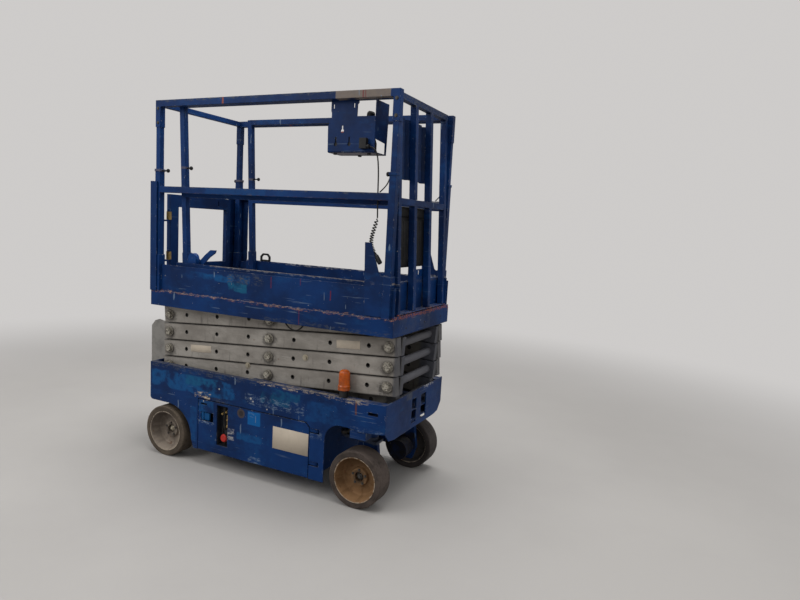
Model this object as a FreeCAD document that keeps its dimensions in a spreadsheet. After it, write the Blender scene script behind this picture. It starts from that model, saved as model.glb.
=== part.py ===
import FreeCAD, Part
import math
import os
import sys
import Sketcher

# Electric slab scissor lift: chassis on four wheels, four-level scissor stack, guarded platform.
# Frame: X runs from the ladder end to the steered end, Y from the near (control) side to the far side,
# Z up, origin on the floor under the middle of the bounding box. All sizes are millimetres.

os.makedirs("parts", exist_ok=True)
doc = FreeCAD.newDocument("scissor_lift")
Vector = FreeCAD.Vector
Rotation = FreeCAD.Rotation
Placement = FreeCAD.Placement

# Driving sizes: alias, value, what it is
drivingSizes = [
    ("wheelRadius", 152.4, "tyre radius"),
    ("wheelWidth", 114, "tyre width"),
    ("wheelTrack", 646, "between the middles of left and right wheels"),
    ("rimRadius", 121, "tyre bore and rim outside"),
    ("rimRecess", 66, "depth of the dished rim face"),
    ("rearAxleX", -574, "rear axle"),
    ("frontAxleX", 746, "front axle and king pins"),
    ("kingPinY", 215, "king pin from the middle"),
    ("kingPinRadius", 20, "king pin"),
    ("steerArm", 161, "steering arm, king pin to tie rod eye"),
    ("sideHalf", 370, "outside of the chassis sides"),
    ("plateWall", 6, "chassis plate"),
    ("chassisRear", -705, "rear end of the chassis"),
    ("noseFront", 904, "front face of the nose"),
    ("sideTop", 563, "top edge of the chassis sides"),
    ("sideBottom", 90, "bottom edge of the chassis sides"),
    ("troughFloor", 466, "top of the plate under the scissor stack"),
    ("trayRear", -323, "rear edge of the swing-out tray door"),
    ("trayFront", 459, "front edge and hinge of the tray door"),
    ("trayHingeX", 496, "tray hinge line, along X"),
    ("trayHingeY", 350, "tray hinge line from the middle"),
    ("trayTop", 400, "top edge of the tray opening"),
    ("trayGap", 5, "gap round the tray doors"),
    ("trayDepth", 300, "depth of the tray floor"),
    ("armSpan", 1490, "scissor arm, pin to pin"),
    ("armDepth", 97, "arm tube depth"),
    ("armWidth", 45, "arm tube width"),
    ("armWall", 5, "arm tube wall"),
    ("armEnd", 45, "arm tube past its end pin"),
    ("outerArmHalf", 300, "outside of the outer arms"),
    ("armGap", 7, "between outer and inner arms"),
    ("levelPitch", 103, "height of one folded level"),
    ("pivotX", -620, "fixed rear pins"),
    ("pivotHeight", 544, "lowest pins"),
    ("pinRadius", 22, "end pin tubes and centre pins"),
    ("pinClearance", 0.3, "pin to bore"),
    ("bossRadius", 33, "pivot bosses"),
    ("headRadius", 29, "flange of a pivot bolt"),
    ("headHeight", 20, "pivot bolt head"),
    ("crossTubeRadius", 28, "cross tubes of the inner arms"),
    ("crossTubeInset", 190, "cross tube from the end pin"),
    ("rollerRadius", 15, "lower slide rollers"),
    ("topRollerRadius", 24, "upper slide rollers"),
    ("rollerGap", 0.5, "roller to track"),
    ("deckRear", -709, "rear end of the platform"),
    ("deckFront", 915, "front end of the platform"),
    ("deckHalf", 367, "outside of the platform skirt"),
    ("deckPlate", 4, "platform plate"),
    ("skirtBottom", 911, "bottom edge of the skirt"),
    ("skirtTop", 1000, "ledge of the skirt"),
    ("floorTop", 1014, "main floor surface"),
    ("toeTop", 1156, "top of the toe boards"),
    ("collarHeight", 1712, "top of the lower guardrail posts"),
    ("sleeveHeight", 1950, "lower end of the corner sleeves"),
    ("toeHalf", 352, "toe board, outside"),
    ("railTube", 36, "guardrail lower posts, sleeves and rails"),
    ("upperPost", 30, "folding upper guardrail posts"),
    ("railWall", 3, "guardrail tube wall"),
    ("railHalf", 347, "guardrail middle from the centre line"),
    ("railTop", 2100, "top of the guardrail"),
    ("midRail", 1595, "middle of the mid rail"),
    ("rearPostX", -665, "rear corner posts"),
    ("frontPostX", 868, "front corner posts"),
    ("socketTop", 1214, "top of the post sockets"),
    ("socketWall", 4, "post socket wall"),
    ("extensionHalf", 318, "outside of the extension deck"),
    ("extensionRear", -560, "rear edge of the extension deck"),
    ("extensionPostX", -487, "foot of the extension rear posts"),
    ("extensionFrontX", 892, "foot of the extension front posts"),
    ("extensionTube", 32, "extension rail tube"),
    ("extensionLean", 2.6, "backward lean of the bent extension rails, degrees"),
    ("extensionFloor", 1023, "extension floor surface"),
    ("extensionToe", 1174, "top of the extension toe boards"),
    ("extensionRailHalf", 297.7, "extension rail middle from the centre line"),
    ("gateHinge", -262, "gate hinge line, along Y"),
    ("gateEnd", 280, "free edge of the gate"),
    ("gateThick", 30, "gate thickness"),
    ("barrelRadius", 44, "lift cylinder barrel"),
    ("rodRadius", 24, "lift cylinder rod"),
    ("cylinderPinRadius", 18, "lift cylinder pins"),
    ("cylinderPinAlong", 300, "cylinder pins from the middle of their arms"),
    ("cylinderPinOffset", 50, "cylinder pins from the middle line of their arms"),
    ("cylinderCheek", 50, "inside of the cylinder brackets from the centre line"),
]


def textOf(value):
    if isinstance(value, Dim):
        return value.text
    return repr(float(value))


class Dim(float):
    """A number that remembers the expression over the sheet's sizes that gives it."""

    def __new__(cls, value, text):
        made = float.__new__(cls, value)
        made.text = text
        return made

    def __add__(self, other):
        return Dim(float(self) + float(other), "(%s + %s)" % (self.text, textOf(other)))

    def __radd__(self, other):
        return Dim(float(other) + float(self), "(%s + %s)" % (textOf(other), self.text))

    def __sub__(self, other):
        return Dim(float(self) - float(other), "(%s - %s)" % (self.text, textOf(other)))

    def __rsub__(self, other):
        return Dim(float(other) - float(self), "(%s - %s)" % (textOf(other), self.text))

    def __mul__(self, other):
        return Dim(float(self) * float(other), "(%s * %s)" % (self.text, textOf(other)))

    def __rmul__(self, other):
        return Dim(float(other) * float(self), "(%s * %s)" % (textOf(other), self.text))

    def __truediv__(self, other):
        return Dim(float(self) / float(other), "(%s / %s)" % (self.text, textOf(other)))

    def __neg__(self):
        return Dim(-float(self), "(0 - %s)" % self.text)


class SizeTable:
    """The driving sizes by name, as written in the sheet."""


sheet = doc.addObject("Spreadsheet::Sheet", "Sizes")
size = SizeTable()
for row, (alias, value, note) in enumerate(drivingSizes, 1):
    sheet.set("A%d" % row, note)
    sheet.set("B%d" % row, str(value))
    sheet.setAlias("B%d" % row, alias)
    setattr(size, alias, Dim(value, "Sizes." + alias))
doc.recompute()

nodes = []


def bind(made, prop, value):
    """Sets a property, and ties it to the sheet where the value comes from there."""
    if isinstance(value, Dim):
        made.setExpression(prop, value.text)
    elif "." not in prop:
        setattr(made, prop, float(value))


def place(made, at, rotation=None):
    made.Placement = Placement(Vector(*[float(v) for v in at]), rotation or Rotation())
    for axis, value in zip("xyz", at):
        bind(made, "Placement.Base." + axis, value)
    return made


def box(name, low, high):
    """A block between two corners."""
    made = doc.addObject("Part::Box", name)
    for prop, a, b in zip(("Length", "Width", "Height"), low, high):
        bind(made, prop, b - a)
    return place(made, low)


axisTurn = {
    "x": Rotation(Vector(0, 1, 0), 90),
    "y": Rotation(Vector(1, 0, 0), -90),
    "z": Rotation(),
}


def rod(name, start, length, radius, axis="y"):
    """A round bar from its start point along an axis."""
    made = doc.addObject("Part::Cylinder", name)
    bind(made, "Radius", radius)
    bind(made, "Height", length)
    return place(made, start, axisTurn[axis])


def hexHead(name, start, height, acrossCorners, axis="y"):
    made = doc.addObject("Part::Prism", name)
    made.Polygon = 6
    bind(made, "Circumradius", acrossCorners)
    bind(made, "Height", height)
    return place(made, start, axisTurn[axis])


def fuse(name, parts):
    made = doc.addObject("Part::MultiFuse", name)
    made.Shapes = parts
    made.Refine = True
    return made


def cut(name, base, tools):
    made = doc.addObject("Part::Cut", name)
    made.Base = base
    made.Tool = tools[0] if len(tools) == 1 else fuse(name + "_tools", tools)
    return made


def group(name, parts):
    """Separate solids of one piece."""
    made = doc.addObject("Part::Compound", name)
    made.Links = parts
    return made


def keep(node, made):
    """Names an object as one of the lift's pieces."""
    made.Label = node
    nodes.append(made)
    return made


def originPlane(body, role):
    return [feature for feature in body.Origin.OriginFeatures if feature.Role == role][0]


def drawLoop(sketch, points):
    """A closed outline. A point is (u, v), or (u, v, radius) where an arc of that radius leads
    to the next point. The arc's centre is to the left of the walk, or to the right if negative."""
    count = len(points)
    starts = []
    for index, point in enumerate(points):
        following = points[(index + 1) % count]
        start = Vector(float(point[0]), float(point[1]), 0)
        end = Vector(float(following[0]), float(following[1]), 0)
        if len(point) == 2:
            number = sketch.addGeometry(Part.LineSegment(start, end), False)
            starts.append((number, 1, 2))
            continue
        radius = abs(float(point[2]))
        side = 1 if point[2] > 0 else -1
        chord = end - start
        across = Vector(-chord.y, chord.x, 0).normalize()
        reach = math.sqrt(max(radius * radius - chord.Length * chord.Length / 4, 0))
        centre = start + chord * 0.5 + across * (side * reach)
        low, high = (start, end) if side > 0 else (end, start)
        lowTurn = math.atan2(low.y - centre.y, low.x - centre.x)
        highTurn = math.atan2(high.y - centre.y, high.x - centre.x)
        if highTurn <= lowTurn:
            highTurn += 2 * math.pi
        circle = Part.Circle(centre, Vector(0, 0, 1), radius)
        number = sketch.addGeometry(Part.ArcOfCircle(circle, lowTurn, highTurn), False)
        starts.append((number, 1, 2) if side > 0 else (number, 2, 1))
    for index, (number, begin, finish) in enumerate(starts):
        after = starts[(index + 1) % count]
        sketch.addConstraint(Sketcher.Constraint("Coincident", number, finish, after[0], after[1]))
    for point, (number, begin, finish) in zip(points, starts):
        for kind, value in (("DistanceX", point[0]), ("DistanceY", point[1])):
            fix(sketch, Sketcher.Constraint(kind, -1, 1, number, begin, float(value)), value)
    for index, (number, begin, finish) in enumerate(starts):
        if len(points[index]) == 2:
            continue
        here, following = points[index], points[(index + 1) % count]
        radius = here[2] if here[2] > 0 else -here[2]
        if abs(float(here[1]) - float(following[1])) < 1e-6 and abs(
                abs(float(here[0]) - float(following[0])) - 2 * float(radius)) < 1e-6:
            fix(sketch, Sketcher.Constraint("DistanceY", -1, 1, number, 3, float(here[1])), here[1])
        elif abs(float(here[0]) - float(following[0])) < 1e-6 and abs(
                abs(float(here[1]) - float(following[1])) - 2 * float(radius)) < 1e-6:
            fix(sketch, Sketcher.Constraint("DistanceX", -1, 1, number, 3, float(here[0])), here[0])
        else:
            fix(sketch, Sketcher.Constraint("Radius", number, float(radius)), radius)


def fix(sketch, constraint, value):
    """Adds a dimension to a sketch, tied to the sheet where its value comes from there."""
    number = sketch.addConstraint(constraint)
    if isinstance(value, Dim):
        sketch.setExpression("Constraints[%d]" % number, value.text)


def drawHole(sketch, centre, radius):
    middle = Vector(float(centre[0]), float(centre[1]), 0)
    number = sketch.addGeometry(Part.Circle(middle, Vector(0, 0, 1), float(radius)), False)
    for kind, value in (("DistanceX", centre[0]), ("DistanceY", centre[1])):
        fix(sketch, Sketcher.Constraint(kind, -1, 1, number, 3, float(value)), value)
    fix(sketch, Sketcher.Constraint("Radius", number, float(radius)), radius)


planeRole = {"x": "YZ_Plane", "y": "XZ_Plane", "z": "XY_Plane"}


def sketchOn(body, name, normal, loops, holes=()):
    sketch = body.newObject("Sketcher::SketchObject", name)
    sketch.AttachmentSupport = [(originPlane(body, planeRole[normal]), "")]
    sketch.MapMode = "FlatFace"
    for points in loops:
        drawLoop(sketch, points)
    for centre, radius in holes:
        drawHole(sketch, centre, radius)
    return sketch


def panel(name, normal, level, thickness, loops, holes=()):
    """A plate cut to an outline. It fills level to level + thickness along its normal."""
    body = doc.addObject("PartDesign::Body", name)
    sketch = sketchOn(body, name + "_outline", normal, loops, holes)
    pad = body.newObject("PartDesign::Pad", name + "_pad")
    pad.Profile = sketch
    bind(pad, "Length", thickness)
    if normal == "y":
        return place(body, (0, level + thickness, 0))
    if normal == "x":
        return place(body, (level, 0, 0))
    return place(body, (0, 0, level))


def turned(name, axis, centre, profile):
    """A turned piece. The profile is (along, radius) for the y axis and (radius, along) for z."""
    body = doc.addObject("PartDesign::Body", name)
    sketch = sketchOn(body, name + "_profile", "x" if axis == "y" else "y", [profile])
    revolution = body.newObject("PartDesign::Revolution", name + "_turn")
    revolution.Profile = sketch
    revolution.ReferenceAxis = (sketch, ["H_Axis" if axis == "y" else "V_Axis"])
    revolution.Angle = 360
    return place(body, centre)


def rectangle(u0, v0, u1, v1):
    return [(u0, v0), (u1, v0), (u1, v1), (u0, v1)]


def mirrored(points):
    return [(-point[0],) + tuple(point[1:]) for point in points]


def squareTube(name, start, end, width, wall):
    """A square tube along X, Y or Z between two points on its middle line, capped at its ends."""
    half = width / 2
    bore = half - wall
    low, high, boreLow, boreHigh = [], [], [], []
    for a, b in zip(start, end):
        along = abs(float(b) - float(a)) > 1e-6
        low.append(a if along else a - half)
        high.append(b if along else b + half)
        boreLow.append(a + wall if along else a - bore)
        boreHigh.append(b - wall if along else b + bore)
    return cut(name, box(name + "_skin", low, high), [box(name + "_bore", boreLow, boreHigh)])


def bothSides(sign, a, b):
    """Two distances from the centre line as a low and a high Y on one side."""
    return sorted((sign * a, sign * b), key=float)


# Chassis

innerFace = size.sideHalf - size.plateWall
archCentreX = size.rearAxleX + 14
archRadius = 187
wheelArchTop = 329
frontArchRadius = 95
frontArchX = 551
frontArchTop = 419


def sidePlate(name, low):
    """One chassis side: rear wheel arch, opening for the tray, and open front wheel arch."""
    archTop = wheelArchTop
    notchFront = size.trayHingeX + 23
    outline = [
        (size.chassisRear, size.sideTop),
        (size.chassisRear, 343),
        (size.chassisRear + 15, archTop + 1),
        (archCentreX, archTop, -archRadius),
        (archCentreX + archRadius, archTop - archRadius),
        (-356, size.sideBottom),
        (size.trayRear, size.sideBottom),
        (size.trayRear, size.trayTop),
        (size.trayFront - 25, size.trayTop),
        (size.trayFront, size.trayTop - 25),
        (size.trayFront, 371),
        (notchFront, 371),
        (notchFront, 345),
        (size.trayFront, 345),
        (size.trayFront, 190),
        (notchFront, 190),
        (notchFront, 165),
        (size.trayFront, 165),
        (size.trayFront, size.sideBottom),
        (frontArchX, size.sideBottom),
        (frontArchX, frontArchTop - frontArchRadius, -frontArchRadius),
        (frontArchX + frontArchRadius, frontArchTop),
        (732, 415),
        (740, 405),
        (size.noseFront - size.plateWall, 418),
        (size.noseFront - size.plateWall, size.sideTop + 5),
    ]
    slideSlot = rectangle(802, 505, 859, 521)
    return panel(name, "y", low, size.plateWall, [outline, slideSlot])


noseEdge = [
    (size.sideHalf, 423),
    (size.sideHalf, 572),
    (-size.sideHalf, 572),
    (-size.sideHalf, 423),
    (-323, 375),
    (-262, 366),
    (262, 366),
    (323, 375),
]
trackLow = size.pivotHeight - size.rollerRadius - size.rollerGap
trackHigh = size.pivotHeight + size.rollerRadius + size.rollerGap
trackFlange = 5
trackInner = 310
trackRear = 40
chassisFront = size.noseFront - size.plateWall

floorLow = size.troughFloor - size.plateWall
wallFront = size.chassisRear + size.plateWall
bulkheadBack = size.trayRear - 7
bulkheadFront = size.trayFront + 6
beamRear = 700
beamFront = 792
beamLow = 405
beamHalf = 300
noseRecesses = [rectangle(-57, 392, 3, 530), rectangle(65, 392, 139, 530)]

# Plates that meet face to face
chassisPlates = [
    sidePlate("near_side", -size.sideHalf),
    sidePlate("far_side", innerFace),
    panel("nose", "x", chassisFront, size.plateWall, [noseEdge] + noseRecesses),
    box("rear_wall", (size.chassisRear, -innerFace, 330), (wallFront, innerFace, size.sideTop)),
    box("trough_floor", (wallFront, -innerFace, floorLow), (chassisFront, innerFace, size.troughFloor)),
    box("rear_bulkhead", (bulkheadBack - 6, -innerFace, size.sideBottom),
        (bulkheadBack, innerFace, floorLow)),
    box("front_bulkhead", (bulkheadFront, -size.trayHingeY + 20, size.sideBottom),
        (bulkheadFront + 6, size.trayHingeY - 20, floorLow)),
    box("spine", (bulkheadBack, -3, 120), (bulkheadFront, 3, floorLow)),
    box("nose_floor", (beamFront, -beamHalf, beamLow), (chassisFront, beamHalf, beamLow + 6)),
]
beamParts = [box("king_pin_beam", (beamRear, -beamHalf, beamLow), (beamFront, beamHalf, floorLow))]
kingBores = []
pivotBore = rod("pivot_bore", (size.pivotX, -260, size.pivotHeight), 520, size.pinRadius + size.pinClearance)
for side, sign in (("near", -1), ("far", 1)):
    track = bothSides(sign, trackInner, innerFace)
    for flange, low in (("lower", trackLow - trackFlange), ("upper", trackHigh)):
        chassisPlates.append(box("%s_%s_track" % (side, flange), (trackRear, track[0], low),
                                 (chassisFront, track[1], low + trackFlange)))
    rim = bothSides(sign, 334, innerFace)
    chassisPlates.append(box(side + "_top_flange", (wallFront, rim[0], size.sideTop - 5),
                             (trackRear, rim[1], size.sideTop)))
    kingY = sign * size.kingPinY
    leg = bothSides(sign, beamHalf, innerFace)
    beamParts.append(rod(side + "_king_boss", (size.frontAxleX, kingY, 345), 70, 42, "z"))
    beamParts.append(box(side + "_king_leg", (beamRear, leg[0], 365), (beamFront, leg[1], floorLow)))
    kingBores.append(rod(side + "_king_bore", (size.frontAxleX, kingY, 340), 140,
                         size.kingPinRadius + size.pinClearance, "z"))
    hanger = bothSides(sign, 196, 206)
    chassisPlates.append(panel(side + "_axle_hanger", "y", hanger[0], 10, [[
        (size.rearAxleX - 95, floorLow), (size.rearAxleX - 50, 105),
        (size.rearAxleX + 50, 105), (size.rearAxleX + 95, floorLow)]]))
    lugSide = bothSides(sign, 226, 246)
    lug = panel(side + "_pivot_lug", "y", lugSide[0], 20, [[
        (size.pivotX - 40, size.troughFloor), (size.pivotX + 40, size.troughFloor),
        (size.pivotX + 35, size.pivotHeight, 35), (size.pivotX - 35, size.pivotHeight)]])
    chassisPlates.append(cut(side + "_pivot_lug_bored", lug, [pivotBore]))
    foot = bothSides(sign, size.trayHingeY - 14, innerFace)
    hingeFoot = (size.trayHingeX, sign * size.trayHingeY, 150)
    hingePost = [rod(side + "_tray_pin", hingeFoot, floorLow - 150, 7, "z")]
    for number, low in enumerate((150, 200, 330, 380)):
        hingePost.append(box("%s_pin_lug_%d" % (side, number), (bulkheadFront + 6, foot[0], low),
                             (size.trayHingeX + 12, foot[1], low + 6)))
    chassisPlates.append(fuse(side + "_hinge_post", hingePost))
chassisPlates.append(cut("steer_beam", fuse("steer_beam_solid", beamParts), kingBores))
keep("chassis_frame", group("chassis", chassisPlates))

# Entry ladder on the rear wall
ladderHalf = 171
ladderRear = -915
ladderParts = [panel("%s_stile" % side, "y", low, 6, [[
    (size.chassisRear, 300), (size.chassisRear, 760), (-850, 782), (-885, 770), (ladderRear, 735),
    (ladderRear, 290), (-895, 270), (-870, 270)]])
    for side, low in (("near", -ladderHalf), ("far", ladderHalf - 6))]
for number, height in enumerate((290, 520, 735), 1):
    ladderParts.append(box("step_%d" % number, (ladderRear + 6, -ladderHalf + 6, height - 8),
                           (ladderRear + 76, ladderHalf - 6, height)))
keep("entry_ladder", fuse("ladder", ladderParts))

# Rear axle stubs
axleHeight = size.wheelRadius
keep("rear_axle", fuse("axle", [
    rod("axle_tube", (size.rearAxleX, -196, axleHeight), 392, 38),
    rod("near_spindle", (size.rearAxleX, -305, axleHeight), 99, 25),
    rod("far_spindle", (size.rearAxleX, 206, axleHeight), 99, 25)]))

# Wheels
tyreHalf = size.wheelWidth / 2
tyreProfile = [
    (-tyreHalf, size.rimRadius), (tyreHalf, size.rimRadius), (tyreHalf, size.wheelRadius - 8, 8),
    (tyreHalf - 8, size.wheelRadius), (-tyreHalf + 8, size.wheelRadius, 8), (-tyreHalf, size.wheelRadius - 8)]
rimFace = size.rimRecess - tyreHalf
hubBore = 25.3


def rimProfile(bore):
    """Half section of the dished rim, outer face towards negative Y."""
    rimOut = size.rimRadius
    return [
        (-tyreHalf + 1, rimOut), (-tyreHalf + 1, rimOut - 6), (rimFace - 8, rimOut - 20),
        (rimFace, rimOut - 28),
        (rimFace, 52), (rimFace - 14, 46), (rimFace - 14, bore), (rimFace + 34, bore), (rimFace + 34, 52),
        (rimFace + 10, 56), (rimFace + 10, rimOut - 20), (tyreHalf - 6, rimOut - 8), (tyreHalf - 6, rimOut)]


wheelPlaces = [
    ("near_rear", size.rearAxleX, -1), ("far_rear", size.rearAxleX, 1),
    ("near_front", size.frontAxleX, -1), ("far_front", size.frontAxleX, 1)]
for wheel, axleX, sign in wheelPlaces:
    centre = (axleX, sign * size.wheelTrack / 2, axleHeight)
    tyre = turned(wheel + "_tyre_body", "y", centre, tyreProfile)
    profile = rimProfile(hubBore)
    if sign > 0:
        profile = mirrored(profile)
    rim = turned(wheel + "_rim_body", "y", centre, profile)
    keep(wheel + "_tyre", tyre)
    keep(wheel + "_rim", rim)

# Steering yokes, each with its king pin, steering arm, drive motor and hub spindle
yokeTop = 312
yokePlate = 14
tieRodLow = yokeTop + yokePlate + 2
for side, sign in (("near", -1), ("far", 1)):
    pinY = sign * size.kingPinY
    face = sorted((sign * 222, sign * 246), key=float)
    armEnd = size.frontAxleX - size.steerArm
    parts = [
        rod(side + "_king_pin", (size.frontAxleX, pinY, yokeTop), 146, size.kingPinRadius, "z"),
        rod(side + "_yoke_collar", (size.frontAxleX, pinY, yokeTop), 30, 40, "z"),
        panel(side + "_yoke_top", "z", yokeTop, yokePlate, [[
            (size.frontAxleX - 55, pinY - 38), (size.frontAxleX + 55, pinY - 38),
            (size.frontAxleX + 55, pinY + 38), (size.frontAxleX - 55, pinY + 38)]]),
        panel(side + "_steer_arm", "z", yokeTop, yokePlate, [[
            (size.frontAxleX, pinY - 26), (size.frontAxleX, pinY + 26), (armEnd, pinY + 20, 20),
            (armEnd, pinY - 20)]]),
        rod(side + "_tie_pin", (armEnd, pinY, yokeTop), yokePlate + 22, 10, "z"),
        panel(side + "_yoke_face", "y", face[0], 24, [[
            (size.frontAxleX - 55, yokeTop + yokePlate), (size.frontAxleX - 75, axleHeight),
            (size.frontAxleX - 50, axleHeight - 72), (size.frontAxleX + 50, axleHeight - 72),
            (size.frontAxleX + 75, axleHeight), (size.frontAxleX + 55, yokeTop + yokePlate)]]),
        rod(side + "_motor", (size.frontAxleX, (sign * 130) if sign > 0 else -224, axleHeight), 94, 58),
        rod(side + "_hub_spindle", (size.frontAxleX, 240 if sign > 0 else -305, axleHeight), 65, 25),
    ]
    keep(side + "_yoke", fuse(side + "_yoke_body", parts))

tieX = size.frontAxleX - size.steerArm
tieRod = fuse("tie_rod_solid", [
    box("tie_bar", (tieX - 12, -size.kingPinY, tieRodLow), (tieX + 12, size.kingPinY, tieRodLow + 16)),
    rod("near_tie_eye", (tieX, -size.kingPinY, tieRodLow), 16, 22, "z"),
    rod("far_tie_eye", (tieX, size.kingPinY, tieRodLow), 16, 22, "z")])
keep("tie_rod", cut("tie_rod_bored", tieRod, [
    rod("near_eye_bore", (tieX, -size.kingPinY, tieRodLow - 5), 30, 10 + size.pinClearance, "z"),
    rod("far_eye_bore", (tieX, size.kingPinY, tieRodLow - 5), 30, 10 + size.pinClearance, "z")]))

# Swing-out trays
doorRear = size.trayRear + size.trayGap
doorFront = size.trayFront - size.trayGap
doorTop = size.trayTop - size.trayGap
doorBottom = size.sideBottom + 3
floorFront = size.trayFront - 39
doorOutline = [
    (doorRear, doorBottom), (doorFront, doorBottom), (doorFront, doorTop - 25), (doorFront - 25, doorTop),
    (doorRear, doorTop)]
hingeLevels = (168, 348)


def hingeArm(name, sign, low):
    """Goose-neck arm from the door's inside to the hinge line behind the side plate."""
    pinX, pinY = size.trayHingeX, sign * size.trayHingeY
    edge = sign * innerFace
    arm = sorted((edge, edge - sign * 14), key=float)
    return cut(name, fuse(name + "_solid", [
        box(name + "_strap", (400, arm[0], low), (size.trayHingeX, arm[1], low + 20)),
        rod(name + "_eye", (pinX, pinY, low), 20, 13, "z")]), [
        rod(name + "_bore", (pinX, pinY, low - 1), 22, 7 + size.pinClearance, "z")])


for side, sign in (("near", -1), ("far", 1)):
    outer = sorted((sign * size.sideHalf, sign * innerFace), key=float)
    loops = [doorOutline, rectangle(-299, 270, -206, 324), rectangle(-300, 366, -255, 376)]
    if side == "near":
        loops.append(rectangle(-180, 143, -99, 381))
    inner = sorted((sign * innerFace, sign * (size.sideHalf - size.trayDepth)), key=float)
    keep(side + "_tray", fuse(side + "_tray_body", [
        panel(side + "_door", "y", outer[0], size.plateWall, loops),
        box(side + "_tray_floor", (-200, inner[0], doorBottom), (floorFront, inner[1], doorBottom + 5)),
        box(side + "_tray_web", (floorFront - 5, inner[0], doorBottom), (floorFront, inner[1], 300)),
    ] + [hingeArm("%s_hinge_%d" % (side, number), sign, low) for number, low in enumerate(hingeLevels)]))
packTop = doorBottom + 5
keep("battery_pack", box("batteries", (-160, 90, packTop), (380, innerFace - 14, packTop + 265)))
keep("hydraulic_unit", box("hydraulics", (-60, -innerFace + 30, packTop), (380, -90, packTop + 250)))
keep("ground_controls", fuse("control_panel", [
    box("niche_wall", (-186, -330, 137), (-93, -324, 387)),
    box("niche_rear", (-186, -innerFace, 137), (-180, -324, 387)),
    box("niche_front", (-99, -innerFace, 137), (-93, -324, 387)),
    box("niche_floor", (-186, -innerFace, 137), (-93, -324, 143)),
    box("niche_roof", (-186, -innerFace, 381), (-93, -324, 387)),
    rod("valve_body", (-118, -358, 230), 30, 11),
]))
keep("ground_stop_button", turned("stop_knob", "y", (-137, -330, 188), [
    (-32, 0), (-32, 18), (-26, 23), (-20, 23), (-16, 11), (-0.3, 11), (-0.3, 0)]))

# Beacon
beaconX = 639
beaconY = -340
keep("beacon_base", rod("beacon_foot", (beaconX, beaconY, trackHigh + trackFlange), 40, 24, "z"))
keep("beacon_lens", turned("beacon_dome", "z", (beaconX, beaconY, trackHigh + trackFlange + 40), [
    (0, 0), (33, 0), (33, 22), (29, 28), (29, 92, 14), (18, 106), (0, 106)]))

# Scissor stack
restTilt = math.degrees(math.asin(size.levelPitch / size.armSpan))
armHalf = size.armSpan / 2
stackMiddle = size.pivotX + float(armHalf) * math.cos(math.radians(restTilt))
outerIn = size.outerArmHalf - size.armWidth
innerOut = outerIn - size.armGap
innerIn = innerOut - size.armWidth
lighteningHoles = (-612, -378, -147, 165, 397, 629)


def armTube(name, low, rearEnd=size.armEnd, frontEnd=size.armEnd, rounded=()):
    """Rectangular arm tube. The ends reach past their pins, square or rounded about the pin."""
    half = size.armDepth / 2
    wall = size.armWall
    rear = -armHalf if "rear" in rounded else -armHalf - rearEnd
    front = armHalf if "front" in rounded else armHalf + frontEnd
    skin = box(name + "_skin", (rear, low, -half), (front, low + size.armWidth, half))
    ends = []
    if "rear" in rounded:
        ends.append(rod(name + "_rear_end", (-armHalf, low, 0), size.armWidth, rearEnd))
    if "front" in rounded:
        ends.append(rod(name + "_front_end", (armHalf, low, 0), size.armWidth, frontEnd))
    if ends:
        skin = fuse(name + "_rounded", [skin] + ends)
    bore = box(name + "_bore", (rear + wall, low + wall, -half + wall),
               (front - wall, low + size.armWidth - wall, half - wall))
    return cut(name, skin, [bore])


def levelPlacement(level, sign):
    height = float(size.pivotHeight) + (level - 0.5) * float(size.levelPitch)
    return Placement(Vector(stackMiddle, 0, height), Rotation(Vector(0, 1, 0), sign * restTilt))


levels = (1, 2, 3, 4)
roundReach = 42
shortReach = 26
outerEnds = {4: {"frontEnd": roundReach, "rounded": ("front",)}}
innerEnds = {1: {"frontEnd": shortReach}, 4: {"rearEnd": roundReach, "rounded": ("rear",)}}
crossAlong = armHalf - size.crossTubeInset
lighteningRadius = 9
footTube = -size.cylinderPinAlong - 130
eyeTube = size.cylinderPinAlong + 150
crossTubes = {1: (footTube, crossAlong), 2: (-crossAlong, eyeTube), 3: (-crossAlong, crossAlong),
              4: (-crossAlong, crossAlong)}
cheekThick = 12


def cylinderBracket(name, tubeAlong, pinAlong, pinNormal):
    """Two cheeks from a cross tube to a cylinder pin, with bolt heads outside."""
    reach = 30
    turn = reach if pinAlong > tubeAlong else -reach
    outline = [(pinAlong, pinNormal - turn, reach), (pinAlong, pinNormal + turn)]
    outline += [(tubeAlong, 28), (tubeAlong, -28)] if turn > 0 else [(tubeAlong, -28), (tubeAlong, 28)]
    made = []
    for side, sign in (("near", -1), ("far", 1)):
        cheek = bothSides(sign, size.cylinderCheek, size.cylinderCheek + cheekThick)
        head = bothSides(sign, size.cylinderCheek + cheekThick, size.cylinderCheek + cheekThick + 8)
        made.append(panel("%s_%s_cheek" % (name, side), "y", cheek[0], cheekThick, [outline]))
        made.append(rod("%s_%s_bolt" % (name, side), (pinAlong, head[0], pinNormal), 8, 22))
    return made


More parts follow.
